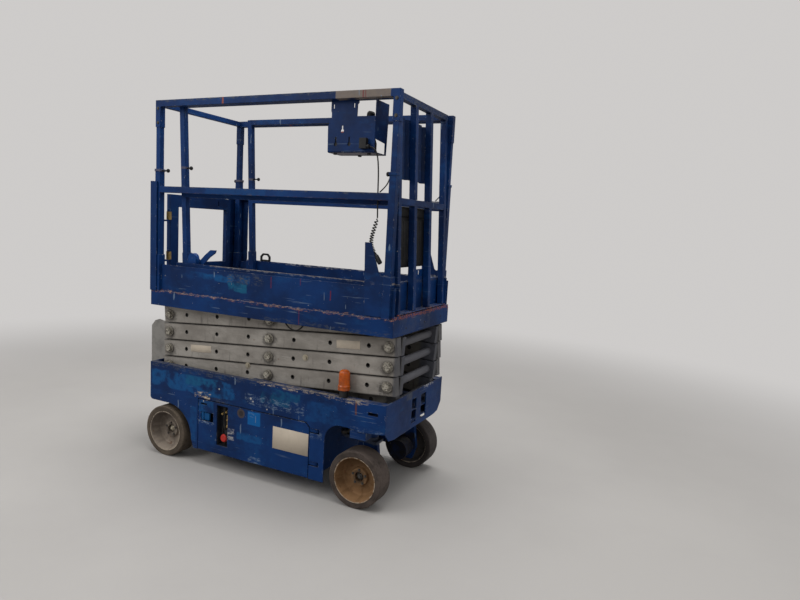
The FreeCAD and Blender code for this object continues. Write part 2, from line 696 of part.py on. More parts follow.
for level in levels:
    # outer pair: centre pins and end tubes are welded to it
    name = "outer_%d" % level
    parts, holes = [], []
    for side, low, headY in (("near", -size.outerArmHalf, -size.outerArmHalf - size.headHeight),
                             ("far", outerIn, size.outerArmHalf)):
        parts.append(armTube("%s_%s_tube" % (name, side), low, **outerEnds.get(level, {})))
        for spot, along in (("rear", -armHalf), ("middle", 0 * armHalf), ("front", armHalf)):
            tag = "%s_%s_%s" % (name, side, spot)
            parts.append(rod(tag + "_boss", (along, low, 0), size.armWidth, size.bossRadius))
            flangeY = -size.outerArmHalf - 5 if side == "near" else size.outerArmHalf
            parts.append(rod(tag + "_flange", (along, flangeY, 0), 5, size.headRadius))
            parts.append(hexHead(tag + "_head", (along, headY, 0), size.headHeight, 20))
        pinStart = -outerIn if side == "near" else innerIn - 5
        parts.append(rod("%s_%s_pin" % (name, side), (0, pinStart, 0), size.armWidth + size.armGap + 5,
                         size.pinRadius))
        for number, along in enumerate(lighteningHoles):
            holes.append(rod("%s_%s_hole_%d" % (name, side, number), (along, low - 1, 3), size.armWidth + 2,
                             lighteningRadius))
    parts.append(rod(name + "_rear_tube", (-armHalf, -outerIn, 0), 2 * outerIn, size.pinRadius))
    parts.append(rod(name + "_front_tube", (armHalf, -outerIn, 0), 2 * outerIn, size.pinRadius))
    if level == 4:
        for side, start in (("near", -innerOut), ("far", innerIn)):
            parts.append(rod("%s_%s_roller" % (name, side), (armHalf, start, 0), size.armWidth,
                             size.topRollerRadius))
    made = keep("outer_arms_%d" % level, cut(name, fuse(name + "_all", parts), holes))
    made.Placement = levelPlacement(level, -1)

    # inner pair: bored at the centre and at the ends that ride on the outer tubes
    name = "inner_%d" % level
    parts, holes = [], []
    bore = size.pinRadius + size.pinClearance
    for side, low in (("near", -innerOut), ("far", innerIn)):
        parts.append(armTube("%s_%s_tube" % (name, side), low, **innerEnds.get(level, {})))
        for spot, along in (("rear", -armHalf), ("middle", 0 * armHalf), ("front", armHalf)):
            tag = "%s_%s_%s" % (name, side, spot)
            ridesOnOuter = (level, spot) not in ((1, "front"), (4, "rear"))
            boss = size.bossRadius if ridesOnOuter else size.bossRadius - 5
            parts.append(rod(tag + "_boss", (along, low, 0), size.armWidth, boss))
            if ridesOnOuter:
                holes.append(rod(tag + "_bore", (along, low - 1, 0), size.armWidth + 2, bore))
    for spot, along in zip(("rear", "front"), crossTubes[level]):
        parts.append(rod("%s_%s_tube" % (name, spot), (along, -innerIn, 0), 2 * innerIn,
                         size.crossTubeRadius))
    if level == 1:
        pinAlong, pinNormal = -size.cylinderPinAlong, -size.cylinderPinOffset
        parts += cylinderBracket("foot_bracket", footTube, pinAlong, pinNormal)
        parts.append(rod("foot_pin", (pinAlong, -size.cylinderCheek, pinNormal), 2 * size.cylinderCheek,
                         size.cylinderPinRadius))
        reach = 334
        parts.append(rod(name + "_axle", (armHalf, -reach, 0), 2 * reach, size.rollerRadius - 2))
        for side, start in (("near", -reach), ("far", reach - 22)):
            parts.append(rod("%s_%s_roller" % (name, side), (armHalf, start, 0), 22, size.rollerRadius))
    if level == 2:
        parts += cylinderBracket("eye_bracket", eyeTube, size.cylinderPinAlong, size.cylinderPinOffset)
    if level == 4:
        reach = 276
        parts.append(rod(name + "_top_pin", (-armHalf, -reach, 0), 2 * reach, size.pinRadius))
    made = keep("inner_arms_%d" % level, cut(name, fuse(name + "_all", parts), holes))
    made.Placement = levelPlacement(level, 1)

# Lift cylinder, from the lowest inner arms to the second inner arms
tilt = math.radians(restTilt)


def innerPoint(level, along, normal):
    """A point of an inner arm, measured from the arm's middle to the front and upwards."""
    height = float(size.pivotHeight) + (level - 0.5) * float(size.levelPitch)
    return Vector(stackMiddle + along * math.cos(tilt) + normal * math.sin(tilt), 0,
                  height - along * math.sin(tilt) + normal * math.cos(tilt))


pinAlong = float(size.cylinderPinAlong)
pinOffset = float(size.cylinderPinOffset)
foot = innerPoint(1, -pinAlong, -pinOffset)
eye = innerPoint(2, pinAlong, pinOffset)
closedLength = (eye - foot).Length
cylinderPitch = math.degrees(math.atan2(eye.z - foot.z, eye.x - foot.x))
cylinderPlace = Placement(foot, Rotation(Vector(0, 1, 0), -cylinderPitch))
eyeHalf = size.cylinderCheek - 2
eyeRadius = size.cylinderPinRadius + 16
glandEnd = closedLength - 110
rodStart = 105
barrel = cut("barrel_bored", fuse("barrel_solid", [
    rod("barrel_tube", (45, 0, 0), glandEnd - 45, size.barrelRadius, "x"),
    rod("barrel_gland", (glandEnd - 40, 0, 0), 40, size.barrelRadius + 4, "x"),
    rod("barrel_port", (75, 0, size.barrelRadius - 6), 20, 11, "z"),
    rod("barrel_eye", (0, -eyeHalf, 0), 2 * eyeHalf, eyeRadius),
    box("barrel_neck", (0, -30, -26), (60, 30, 26))]), [
    rod("barrel_eye_bore", (0, -eyeHalf - 5, 0), 2 * eyeHalf + 10,
        size.cylinderPinRadius + size.pinClearance),
    rod("barrel_bore", (rodStart - 5, 0, 0), glandEnd, size.rodRadius + size.pinClearance, "x")])
keep("lift_barrel", barrel)
barrel.Placement = cylinderPlace
liftRod = fuse("rod_solid", [
    rod("rod_bar", (rodStart, 0, 0), closedLength - rodStart - 20, size.rodRadius, "x"),
    rod("rod_eye", (closedLength, -size.cylinderCheek + 12, 0), 2 * size.cylinderCheek - 24, eyeRadius),
    rod("rod_pin", (closedLength, -eyeHalf, 0), 2 * eyeHalf, size.cylinderPinRadius)])
keep("lift_rod", liftRod)
liftRod.Placement = cylinderPlace

# Platform
plate = size.deckPlate
skirtRear = size.deckRear + plate
skirtFront = size.deckFront - plate
skirtIn = size.deckHalf - plate
toeIn = size.toeHalf - plate
floorUnder = size.floorTop - plate
socketHalf = size.railTube / 2 + size.socketWall
topPin = float(size.pivotHeight) + 4 * float(size.levelPitch)
channelHigh = size.pivotHeight + 4 * size.levelPitch + size.topRollerRadius + size.rollerGap
earBore = rod("ear_bore", (size.pivotX, -290, topPin), 580, size.pinRadius + size.pinClearance)
gussetOutline = [
    (730, 1371), (742, 1006), (size.frontPostX - socketHalf, 1006), (size.frontPostX - socketHalf, 1210),
    (827, 1210), (817, 1218), (766, 1371)]
sockets = []
deckParts = [
    box("rear_skirt", (size.deckRear, -skirtIn, size.skirtBottom), (skirtRear, skirtIn, size.floorTop)),
    box("front_skirt", (skirtFront, -skirtIn, size.skirtBottom), (size.deckFront, skirtIn, size.floorTop)),
    box("rear_toe_board", (size.deckRear, -toeIn, size.floorTop), (skirtRear, -300, size.toeTop)),
]
for side, sign in (("near", -1), ("far", 1)):
    skirt = bothSides(sign, size.deckHalf, skirtIn)
    ledge = bothSides(sign, skirtIn, toeIn)
    toe = bothSides(sign, size.toeHalf, toeIn)
    deckParts.append(box(side + "_skirt", (size.deckRear, skirt[0], size.skirtBottom),
                         (size.deckFront, skirt[1], size.skirtTop)))
    deckParts.append(box(side + "_ledge", (skirtRear, ledge[0], size.skirtTop - plate),
                         (skirtFront, ledge[1], size.skirtTop)))
    toeSpans = [
        ("toe_rear", skirtRear, size.rearPostX - socketHalf),
        ("toe_board", size.rearPostX + socketHalf, size.frontPostX - socketHalf),
        ("toe_front", size.frontPostX + socketHalf, skirtFront)]
    for spot, low, high in toeSpans:
        deckParts.append(box("%s_%s" % (side, spot), (low, toe[0], size.skirtTop),
                             (high, toe[1], size.toeTop)))
    channel = bothSides(sign, innerIn, innerOut)
    deckParts.append(box(side + "_roller_roof", (60, channel[0], channelHigh),
                         (skirtFront, channel[1], floorUnder)))
    ear = bothSides(sign, outerIn + 1, outerIn + 19)
    earPlate = panel(side + "_pivot_ear", "y", ear[0], 18, [[
        (size.pivotX - 45, floorUnder), (size.pivotX - 30, topPin, 30),
        (size.pivotX + 30, topPin), (size.pivotX + 45, floorUnder)]])
    deckParts.append(cut(side + "_pivot_ear_bored", earPlate, [earBore]))
    gusset = bothSides(sign, size.toeHalf, size.toeHalf + plate)
    deckParts.append(panel(side + "_gusset", "y", gusset[0], plate, [gussetOutline]))
    for spot, postX in (("rear", size.rearPostX), ("front", size.frontPostX)):
        name = "%s_%s_socket" % (side, spot)
        span = bothSides(sign, size.railHalf - socketHalf, size.railHalf + socketHalf)
        hole = size.railTube / 2 + size.pinClearance
        skin = box(name + "_skin", (postX - socketHalf, span[0], size.skirtTop),
                   (postX + socketHalf, span[1], size.socketTop))
        bore = box(name + "_bore", (postX - hole, sign * size.railHalf - hole, size.skirtTop - 1),
                   (postX + hole, sign * size.railHalf + hole, size.socketTop + 1))
        sockets.append(skin)
        deckParts.append(cut(name, skin, [bore]))
mainFloor = box("floor", (skirtRear, -toeIn, floorUnder), (skirtFront, toeIn, size.floorTop))
deckParts.append(cut("main_floor", mainFloor, sockets))
keep("platform_deck", group("deck", deckParts))

# Guardrails: lower posts in their sockets, folding upper posts with corner sleeves
postFoot = size.skirtTop + size.pinClearance
railBoxHalf = size.railTube / 2
railMiddle = size.railTop - railBoxHalf
for side, sign in (("near", -1), ("far", 1)):
    y = sign * size.railHalf
    railParts = []
    for spot, postX in (("rear", size.rearPostX), ("front", size.frontPostX)):
        name = "%s_%s" % (side, spot)
        collar = box(name + "_collar_skin", (postX - 21, y - 21, size.collarHeight - 14),
                     (postX + 21, y + 21, size.collarHeight))
        lowerPost = squareTube(name + "_lower_post", (postX, y, postFoot), (postX, y, size.collarHeight),
                               size.railTube, size.railWall)
        railParts += [
            fuse(name + "_collared_post", [lowerPost, collar]),
            squareTube(name + "_upper_post", (postX, y, size.collarHeight), (postX, y, size.sleeveHeight),
                       size.upperPost, size.railWall),
            squareTube(name + "_sleeve", (postX, y, size.sleeveHeight), (postX, y, size.railTop),
                       size.railTube, size.railWall)]
    railRear = size.rearPostX + railBoxHalf
    railFront = size.frontPostX - railBoxHalf
    for rail, level in (("top", railMiddle), ("mid", size.midRail)):
        railParts.append(squareTube("%s_%s_rail" % (side, rail), (railRear, y, level), (railFront, y, level),
                                    size.railTube, size.railWall))
    if side == "far":
        nearEnd = -size.railHalf + railBoxHalf + size.pinClearance
        railParts.append(squareTube("rear_top_rail", (size.rearPostX, nearEnd, railMiddle),
                                    (size.rearPostX, size.railHalf - railBoxHalf, railMiddle),
                                    size.upperPost, size.railWall))
    keep(side + "_guardrail", group(side + "_rails", railParts))

# Rear corner plates; the near one carries the gate
socketOut = size.railHalf + socketHalf + size.pinClearance
cornerOut = socketOut + size.plateWall
gateInner = size.deckRear + size.gateThick
bracketEdge = -300
nearCornerTop = 1641
farCornerTop = 1605
farCornerEdge = 289
cornerParts = [
    box("near_corner_side", (size.deckRear, -cornerOut, size.skirtTop), (-660, -socketOut, nearCornerTop)),
    box("near_corner_rear", (size.deckRear, -socketOut, size.toeTop + size.pinClearance),
        (skirtRear, bracketEdge, nearCornerTop)),
    box("far_corner_side", (size.deckRear, socketOut, size.floorTop), (-604, cornerOut, farCornerTop)),
    box("far_corner_rear", (size.deckRear, farCornerEdge, size.floorTop + size.pinClearance),
        (skirtRear, socketOut, farCornerTop)),
]
for number, low in enumerate((1170, 1410)):
    cornerParts.append(fuse("gate_bracket_%d" % number, [
        box("bracket_plate_%d" % number, (size.deckRear, bracketEdge, low),
            (gateInner + 10, bracketEdge + 28, low + 10)),
        box("bracket_foot_%d" % number, (gateInner - 8, -280, low),
            (gateInner + 8, size.gateHinge, low + 10)),
        rod("bracket_pin_%d" % number, (gateInner, size.gateHinge, low), 70, 8, "z")]))
keep("gate_posts", group("rear_corners", cornerParts))

# Gate: four bars round a window, knuckles on the hinge bar, finger slot in the top bar
gateRear = size.deckRear
gateLow = 1080
gateHigh = 1574
windowLow = 1155
windowHigh = 1500
hingeBarParts = [box("gate_hinge_bar", (gateRear, size.gateHinge + 12, gateLow), (gateInner, -185, gateHigh))]
knuckleBores = []
for number, low in enumerate((1181, 1421)):
    hingeBarParts.append(rod("gate_knuckle_%d" % number, (gateInner, size.gateHinge, low), 48, 14, "z"))
    hingeBarParts.append(box("gate_strap_%d" % number, (gateInner - 8, size.gateHinge, low),
                             (gateInner, size.gateHinge + 40, low + 48)))
    knuckleBores.append(rod("gate_knuckle_bore_%d" % number, (gateInner, size.gateHinge, low - 5), 60,
                            8 + size.pinClearance, "z"))
keep("entry_gate", group("gate", [
    cut("gate_hinge_side", fuse("gate_hinge_side_solid", hingeBarParts), knuckleBores),
    box("gate_latch_bar", (gateRear, 243, gateLow), (gateInner, size.gateEnd, gateHigh)),
    box("gate_bottom_bar", (gateRear, -185, gateLow), (gateInner, 243, windowLow)),
    panel("gate_top_bar", "x", gateRear, size.gateThick, [
        rectangle(-185, windowHigh, 243, gateHigh), rectangle(160, 1520, 168, 1556)])]))

# Extension deck
extPlate = 4
extFloorLow = size.extensionFloor - extPlate
extToeIn = size.extensionHalf - extPlate
extFront = size.deckFront - 1
toeFrontX = 864
halfTube = size.extensionTube / 2
extParts = [
    box("ext_floor", (size.extensionRear, -size.extensionHalf, extFloorLow),
        (extFront, size.extensionHalf, size.extensionFloor)),
    box("ext_tread", (-440, -270, size.extensionFloor), (830, 270, size.extensionFloor + 2)),
    box("ext_front_toe", (toeFrontX - extPlate, -extToeIn, size.extensionFloor),
        (toeFrontX, extToeIn, size.extensionToe)),
    box("ext_front_lip", (toeFrontX - 24, -extToeIn + 34, size.extensionToe - extPlate),
        (toeFrontX - extPlate, extToeIn - 34, size.extensionToe)),
    panel("ext_slot_plate", "x", toeFrontX - extPlate, extPlate, [
        rectangle(-112, size.extensionToe, 135, 1233), rectangle(12, 1204, 26, 1226),
        rectangle(34, 1180, 60, 1192)]),
]
for side, sign in (("near", -1), ("far", 1)):
    toe = bothSides(sign, extToeIn, size.extensionHalf)
    extParts.append(box(side + "_ext_toe", (size.extensionRear, toe[0], size.extensionFloor),
                        (extFront, toe[1], size.extensionToe)))
    runner = bothSides(sign, size.extensionHalf - 24, size.extensionHalf)
    extParts.append(box(side + "_runner", (size.extensionRear, runner[0], size.floorTop + size.pinClearance),
                        (extFront, runner[1], extFloorLow)))
keep("extension_deck", group("ext_deck", extParts))

# Extension rails: the frame leans back, bent about its post feet
lean = math.radians(float(size.extensionLean))
extTop = size.railTop - 17
extMid = 1572
frontMid = 1580
leanSeat = size.extensionFloor + 0.8
socketSeat = size.extensionFloor + 1.2
railSeat = 0.8
socketHeight = 210


def leanShift(height):
    return (float(height) - float(size.extensionFloor)) * math.tan(lean)


def leanPlacement(footX):
    """Turns a piece about the foot of its post by the lean."""
    pivot = Vector(float(footX), 0, float(size.extensionFloor))
    return Placement(Vector(), Rotation(Vector(0, 1, 0), -float(size.extensionLean)), pivot)


def leaningTube(name, footX, y, low, high, width=size.extensionTube):
    """An upright of the leaning frame, between two heights of its middle line."""
    foot = size.extensionFloor
    start = foot + (low - foot) / math.cos(lean)
    end = foot + (high - foot) / math.cos(lean)
    made = squareTube(name, (footX, y, start), (footX, y, end), width, size.railWall)
    made.Placement = leanPlacement(footX)
    return made


def postSocket(side, sign):
    """Three walls round the foot of a rear post, open to the toe board."""
    middle = size.extensionPostX
    hole = halfTube + size.pinClearance
    outer = sign * (extToeIn - size.pinClearance)
    wallFace = sign * (size.extensionRailHalf - hole)
    wallBack = sign * (size.extensionRailHalf - hole - 4)
    made = panel(side + "_ext_socket", "z", float(socketSeat), socketHeight, [[
        (middle - hole - 4, outer), (middle - hole, outer), (middle - hole, wallFace),
        (middle + hole, wallFace), (middle + hole, outer), (middle + hole + 4, outer),
        (middle + hole + 4, wallBack), (middle - hole - 4, wallBack)]])
    made.Placement = leanPlacement(middle).multiply(made.Placement)
    return made


postRail = size.extensionRailHalf
faceHalf = postRail - halfTube
extRails = []
for side, sign in (("near", -1), ("far", 1)):
    y = sign * postRail
    for spot, footX in (("rear", size.extensionPostX), ("front", size.extensionFrontX)):
        extRails.append(leaningTube("%s_ext_%s_post" % (side, spot), footX, y, leanSeat, extTop + halfTube))
    extRails.append(postSocket(side, sign))
    for rail, level in (("mid", extMid), ("top", extTop)):
        shift = leanShift(level)
        rear = size.extensionPostX + halfTube - shift + railSeat
        front = size.extensionFrontX - halfTube - shift - railSeat
        extRails.append(squareTube("%s_ext_%s" % (side, rail), (rear, y, level), (front, y, level),
                                   size.extensionTube, size.railWall))
for name, level in (("ext_front_mid", frontMid), ("ext_front_top", extTop)):
    x = size.extensionFrontX - leanShift(level)
    extRails.append(squareTube(name, (x, -faceHalf, level), (x, faceHalf, level), size.extensionTube,
                               size.railWall))
for number, y in enumerate((-110, 85), 1):
    extRails.append(leaningTube("lower_upright_%d" % number, size.extensionFrontX, y, leanSeat,
                                frontMid - halfTube - railSeat))
    extRails.append(leaningTube("upper_upright_%d" % number, size.extensionFrontX, y,
                                frontMid + halfTube + railSeat, extTop - halfTube - railSeat))
keep("extension_rails", group("ext_rails", extRails))

# Folded panel and moulded box hung behind the front uprights
panelLow = 1695
panelHigh = 1995
panelX = size.extensionFrontX - halfTube - 0.5
ribDepth = 14
panelEdge = [(panelX, -232)]
for ribStart in (-190, -90, 20, 110):
    panelEdge += [(panelX, ribStart), (panelX - ribDepth, ribStart + 8), (panelX - ribDepth, ribStart + 40),
                  (panelX, ribStart + 48)]
panelEdge.append((panelX, 178))
panelBack = [(x - 3, y) for x, y in reversed(panelEdge)]
panelLean = leanPlacement(size.extensionFrontX)
upperPanel = panel("upper_panel", "z", panelLow, panelHigh - panelLow, [panelEdge + panelBack])
keep("front_panel", upperPanel)
upperPanel.Placement = panelLean.multiply(upperPanel.Placement)
boxLow = 1248
boxHigh = 1562
boxRound = 26
boxOutline = [
    (-214 + boxRound, boxLow), (170 - boxRound, boxLow, boxRound), (170, boxLow + boxRound), (170, boxHigh),
    (-214, boxHigh), (-214, boxLow + boxRound, boxRound)]
boxDepth = 85
storageBox = panel("storage_body", "x", float(panelX) - boxDepth, boxDepth, [boxOutline])
keep("storage_box", storageBox)
storageBox.Placement = panelLean.multiply(storageBox.Placement)

# Deck lock with its lever, on the near toe board of the extension
lockX = -438
lockLow = size.extensionToe + size.pinClearance
keep("deck_lock_lever", fuse("lever", [
    box("lock_foot", (lockX - 32, -size.extensionHalf, lockLow), (lockX + 32, -288, 1205)),
    rod("lock_drum", (lockX, -size.extensionHalf, 1205), size.extensionHalf - 288, 30),
    panel("lever_arm", "y", -288, 8, [[
        (lockX, 1185), (-380, 1169), (-332, 1216), (-290, 1244), (-284, 1261), (-326, 1260), (-367, 1228),
        (-401, 1196), (lockX, 1215)]])]))
keep("grab_loop", panel("loop", "y", 311, 10, [
    [(-440, lockLow), (-360, lockLow), (-360, 1206), (-380, 1226), (-420, 1226), (-440, 1206)],
    [(-428, 1184), (-372, 1184), (-372, 1202), (-384, 1214), (-416, 1214), (-428, 1202)]]))

# Control bracket hung inside the near top rail, with its box, joystick and connector
bracketPlate = 4
bracketY = -size.railHalf + railBoxHalf + size.pinClearance
bracketIn = bracketY + bracketPlate
bracketLow = 1812


def keyhole(x, foot, neck):
    """A keyhole that is wide at its foot."""
    return [(x - 4, foot + neck), (x - 4, foot + 19), (x - 9, foot + 13), (x - 9, foot + 5), (x - 4, foot),
            (x + 4, foot), (x + 9, foot + 5), (x + 9, foot + 13), (x + 4, foot + 19), (x + 4, foot + neck)]


hangerOutline = [
    (473, bracketLow), (741, bracketLow), (741, 1983), (637, 1984), (638, 2040), (645, 2048), (645, 2090),
    (486, 2090), (486, 2012), (490, 2004), (490, 1977), (470, 1940)]
keep("control_bracket", group("bracket", [
    panel("bracket_face", "y", bracketY, bracketPlate, [
        hangerOutline, keyhole(555, 1904, 36), keyhole(519, 1840, 44), keyhole(597, 1840, 44),
        rectangle(499, 2024, 505, 2044), rectangle(616, 2026, 622, 2046)]),
    panel("bracket_wing", "x", 737, bracketPlate, [[
        (bracketIn, 2062), (bracketIn, 1876), (-215, 1866), (-215, bracketLow), (-201, bracketLow),
        (-197, 1881), (-190, 2062)]]),
    box("bracket_tray", (473, bracketIn, bracketLow - 4), (741, -201, bracketLow))]))
boxSeat = bracketLow + size.pinClearance
keep("control_box", panel("joystick_box", "x", 485, 205, [[
    (bracketIn + size.pinClearance, boxSeat), (-210, boxSeat), (-210, 1868), (-232, 1895),
    (bracketIn + size.pinClearance, 1895)]]))
stick = turned("stick", "z", (676, -270, 1895 + size.pinClearance), [
    (0, 0), (30, 0), (30, 8), (16, 34), (10, 42), (10, 66), (16, 78), (17, 122), (12, 132), (0, 132)])
keep("joystick", stick)
connector = fuse("connector", [
    box("connector_body", (668, bracketY - 24.3, 1826), (706, bracketY - size.pinClearance, 1876)),
    rod("connector_nut", (690, bracketY - 12, 1836), 30, 11, "x")])
keep("cable_connector", connector)

# Free cords: middle points of their routes, tube radius
cordRoutes = {
    "control_cable": (3.5, [(721.2, -341, 1836), (748, -338, 1829), (763, -330, 1794), (767, -321.5, 1722),
                            (769, -321.5, 1640), (771, -321.5, 1560), (776, -325, 1492)]),
    "near_lanyard": (3, [(846.5, -347, 1693), (838, -347, 1664), (816, -347, 1636), (793, -347, 1616.5)]),
    "far_lanyard": (3, [(846.5, 347, 1693), (840, 347, 1664), (820, 347, 1636), (800, 347, 1616.5)]),
    "stack_cable": (4, [(222, -331, 1009.2), (229, -331, 950), (252, -331, 900), (290, -331, 874),
                        (332, -331, 873), (366, -331, 902), (384, -331, 950), (390, -331, 1009.2)]),
    "cable_coil": (10, [(776, -325, 1488.6), (762, -328, 1440), (752, -334, 1390), (757, -339.7, 1348),
                        (777, -339.7, 1320)]),
}


def cordTube(name, radius, points):
    """A cord along straight runs joined by tangent arcs."""
    route = [Vector(*point) for point in points]
    edges = []
    start = route[0]
    tightest = None
    for before, corner, after in zip(route, route[1:], route[2:]):
        into, out = corner - before, after - corner
        turn = into.getAngle(out)
        bend = 0.45 * min(into.Length, out.Length) / math.tan(turn / 2)
        reach = bend * math.tan(turn / 2)
        entry = corner - into.normalize() * reach
        leave = corner + out.normalize() * reach
        inward = (entry + leave) * 0.5 - corner
        middle = corner + inward.normalize() * (bend / math.cos(turn / 2) - bend)
        edges.append(Part.makeLine(start, entry))
        edges.append(Part.Arc(entry, middle, leave).toShape())
        start = leave
        tightest = bend if tightest is None else min(tightest, bend)
    edges.append(Part.makeLine(start, route[-1]))
    spine = doc.addObject("Part::Feature", name + "_route")
    spine.Shape = Part.Wire(edges)
    heading = (route[1] - route[0]).normalize()
    section = doc.addObject("Part::Circle", name + "_section")
    section.Radius = radius
    section.Placement = Placement(route[0], Rotation(Vector(0, 0, 1), heading))
    tube = doc.addObject("Part::Sweep", name + "_tube")
    tube.Sections = [section]
    tube.Spine = (spine, [])
    tube.Solid = True
    tube.Frenet = True
    doc.recompute()
    expected = math.pi * radius * radius * spine.Shape.Length
    print("%s: length %.1f, tightest bend %.1f, volume share %.3f" % (
        name, spine.Shape.Length, tightest, tube.Shape.Volume / expected))
    return tube


for name, (radius, points) in cordRoutes.items():
    keep(name, cordTube(name, radius, points))
plug = turned("plug", "z", (0, 0, 0), [
    (0, -62), (9, -62), (12, -58), (12, -18), (8, -10), (8, -0.3), (0, -0.3)])
keep("cable_plug", plug)
beforeEnd, coilEnd = [Vector(*point) for point in cordRoutes["cable_coil"][1][-2:]]
plug.Placement = Placement(coilEnd, Rotation(Vector(0, 0, 1), beforeEnd - coilEnd))

# Checks and files
doc.recompute()
failed = []
for made in doc.Objects:
    if "Invalid" in made.State or "Error" in made.State:
        failed.append("%s %s" % (made.Name, made.State))
for made in nodes:
    if made.Shape.isNull() or not made.Shape.isValid():
        failed.append(made.Label + " has no valid shape")
if failed:
    print("\n".join(failed))
    sys.exit(1)
for made in nodes:
    made.Shape.exportStep(os.path.join("parts", made.Label + ".step"))
print("%d pieces written" % len(nodes))
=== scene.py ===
import math
import bmesh
import bpy
from mathutils import Matrix, Vector


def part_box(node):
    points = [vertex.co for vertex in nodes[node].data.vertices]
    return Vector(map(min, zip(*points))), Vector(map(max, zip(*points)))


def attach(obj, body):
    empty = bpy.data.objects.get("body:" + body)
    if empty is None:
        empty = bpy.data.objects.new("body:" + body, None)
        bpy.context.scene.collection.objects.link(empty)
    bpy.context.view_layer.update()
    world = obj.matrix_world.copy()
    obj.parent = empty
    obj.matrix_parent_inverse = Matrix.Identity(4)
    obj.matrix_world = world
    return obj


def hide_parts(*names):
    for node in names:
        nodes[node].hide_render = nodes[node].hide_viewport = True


# Scissor lift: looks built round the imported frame, in metres
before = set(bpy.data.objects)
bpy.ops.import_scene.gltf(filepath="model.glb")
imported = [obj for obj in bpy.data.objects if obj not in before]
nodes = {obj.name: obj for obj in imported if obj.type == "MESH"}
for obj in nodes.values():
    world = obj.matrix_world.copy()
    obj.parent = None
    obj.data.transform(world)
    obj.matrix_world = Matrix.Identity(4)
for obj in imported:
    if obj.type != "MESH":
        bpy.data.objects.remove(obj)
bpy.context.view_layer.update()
print("frame loaded,", len(nodes), "pieces")

# Camera: place in metres, turns in degrees, focal length in pixels of the 800 wide picture
cameraView = {"place": (2.1887, -3.0011, 1.458), "yaw": 25.3, "pitch": 6.9, "roll": 3.2,
              "focal": 608.3, "width": 800, "sensor": 36}


def setCamera():
    yaw, pitch, roll = (math.radians(cameraView[turn]) for turn in ("yaw", "pitch", "roll"))
    forward = Vector((-math.sin(yaw) * math.cos(pitch), math.cos(yaw) * math.cos(pitch), -math.sin(pitch)))
    level = Vector((math.cos(yaw), math.sin(yaw), 0))
    upright = level.cross(forward)
    right = level * math.cos(roll) + upright * math.sin(roll)
    up = upright * math.cos(roll) - level * math.sin(roll)
    data = bpy.data.cameras.new("photoCamera")
    data.sensor_width = cameraView["sensor"]
    data.lens = cameraView["focal"] / cameraView["width"] * data.sensor_width
    camera = bpy.data.objects.new("photoCamera", data)
    bpy.context.collection.objects.link(camera)
    turn = Matrix((right, up, -forward)).transposed().to_4x4()
    camera.matrix_world = Matrix.Translation(Vector(cameraView["place"])) @ turn
    bpy.context.scene.camera = camera


setCamera()
bpy.context.scene.view_settings.view_transform = "Standard"


# Shader maths: a Signal is one socket, and sums and products on it add Math nodes
class Signal:
    def __init__(self, tree, socket):
        self.tree = tree
        self.socket = socket

    def node(self, kind, settings=None, values=None, output=0):
        made = self.tree.nodes.new(kind)
        for name, value in (settings or {}).items():
            setattr(made, name, value)
        for key, value in (values or {}).items():
            for given in value if isinstance(value, list) else [value]:
                if isinstance(given, Signal):
                    self.tree.links.new(given.socket, made.inputs[key])
                else:
                    made.inputs[key].default_value = given
        return Signal(self.tree, made.outputs[output])

    def maths(self, operation, other=0.0, flip=False):
        first, second = (other, self) if flip else (self, other)
        return self.node("ShaderNodeMath", {"operation": operation}, {0: first, 1: second})

    def __add__(self, other):
        return self.maths("ADD", other)

    def __sub__(self, other):
        return self.maths("SUBTRACT", other)

    def __rsub__(self, other):
        return self.maths("SUBTRACT", other, True)

    def __mul__(self, other):
        return self.maths("MULTIPLY", other)

    __radd__ = __add__
    __rmul__ = __mul__

    def capped(self):
        return self.maths("MINIMUM", 1.0)

    def ease(self, low, high):  # 0 below low, 1 above high, smooth between
        values = {"Value": self, "From Min": low, "From Max": high}
        return self.node("ShaderNodeMapRange", {"interpolation_type": "SMOOTHSTEP"}, values)

    def axes(self):
        return [self.node("ShaderNodeSeparateXYZ", None, {0: self}, index) for index in range(3)]

    def grain(self, scale, detail=3.0, rough=0.6, stretch=(1, 1, 1), shift=(0, 0, 0)):
        moved = self.node("ShaderNodeMapping", None, {"Vector": self, "Scale": stretch, "Location": shift})
        values = {"Vector": moved, "Scale": scale, "Detail": detail, "Roughness": rough}
        return self.node("ShaderNodeTexNoise", None, values)

    def blots(self, scale, detail, rough, low, high, stretch=(1, 1, 1), shift=(0, 0, 0)):
        return self.grain(scale, detail, rough, stretch, shift).ease(low, high)  # noise cut to a mask

    def tint(self, first, second):  # this mask mixes two colours, 0 gives the first
        picks = [pick if isinstance(pick, Signal) else (*pick, 1) for pick in (first, second)]
        return self.node("ShaderNodeMix", {"data_type": "RGBA"}, {0: self, 6: picks[0], 7: picks[1]}, 2)


def newFinish(name):
    material = bpy.data.materials.new(name)
    material.use_nodes = True
    tree = material.node_tree
    place = Signal(tree, tree.nodes.new("ShaderNodeTexCoord").outputs["Object"])
    return material, tree.nodes["Principled BSDF"], place


def finishWith(material, shader, colour, roughness, height=None, strength=0.3, metallic=None, rounding=None):
    tree = material.node_tree
    for name, value in (("Base Color", colour), ("Roughness", roughness), ("Metallic", metallic)):
        if isinstance(value, Signal):
            tree.links.new(value.socket, shader.inputs[name])
        elif value is not None:
            shader.inputs[name].default_value = (*value, 1) if name == "Base Color" else value
    if height is not None:
        values = {"Height": height, "Strength": strength, "Distance": 0.001}
        if rounding is not None:
            values["Normal"] = rounding
        bump = height.node("ShaderNodeBump", None, values)
        tree.links.new(bump.socket, shader.inputs["Normal"])
    return material


def scaled(tone, share):
    return tuple(min(value * share, 1) for value in tone)


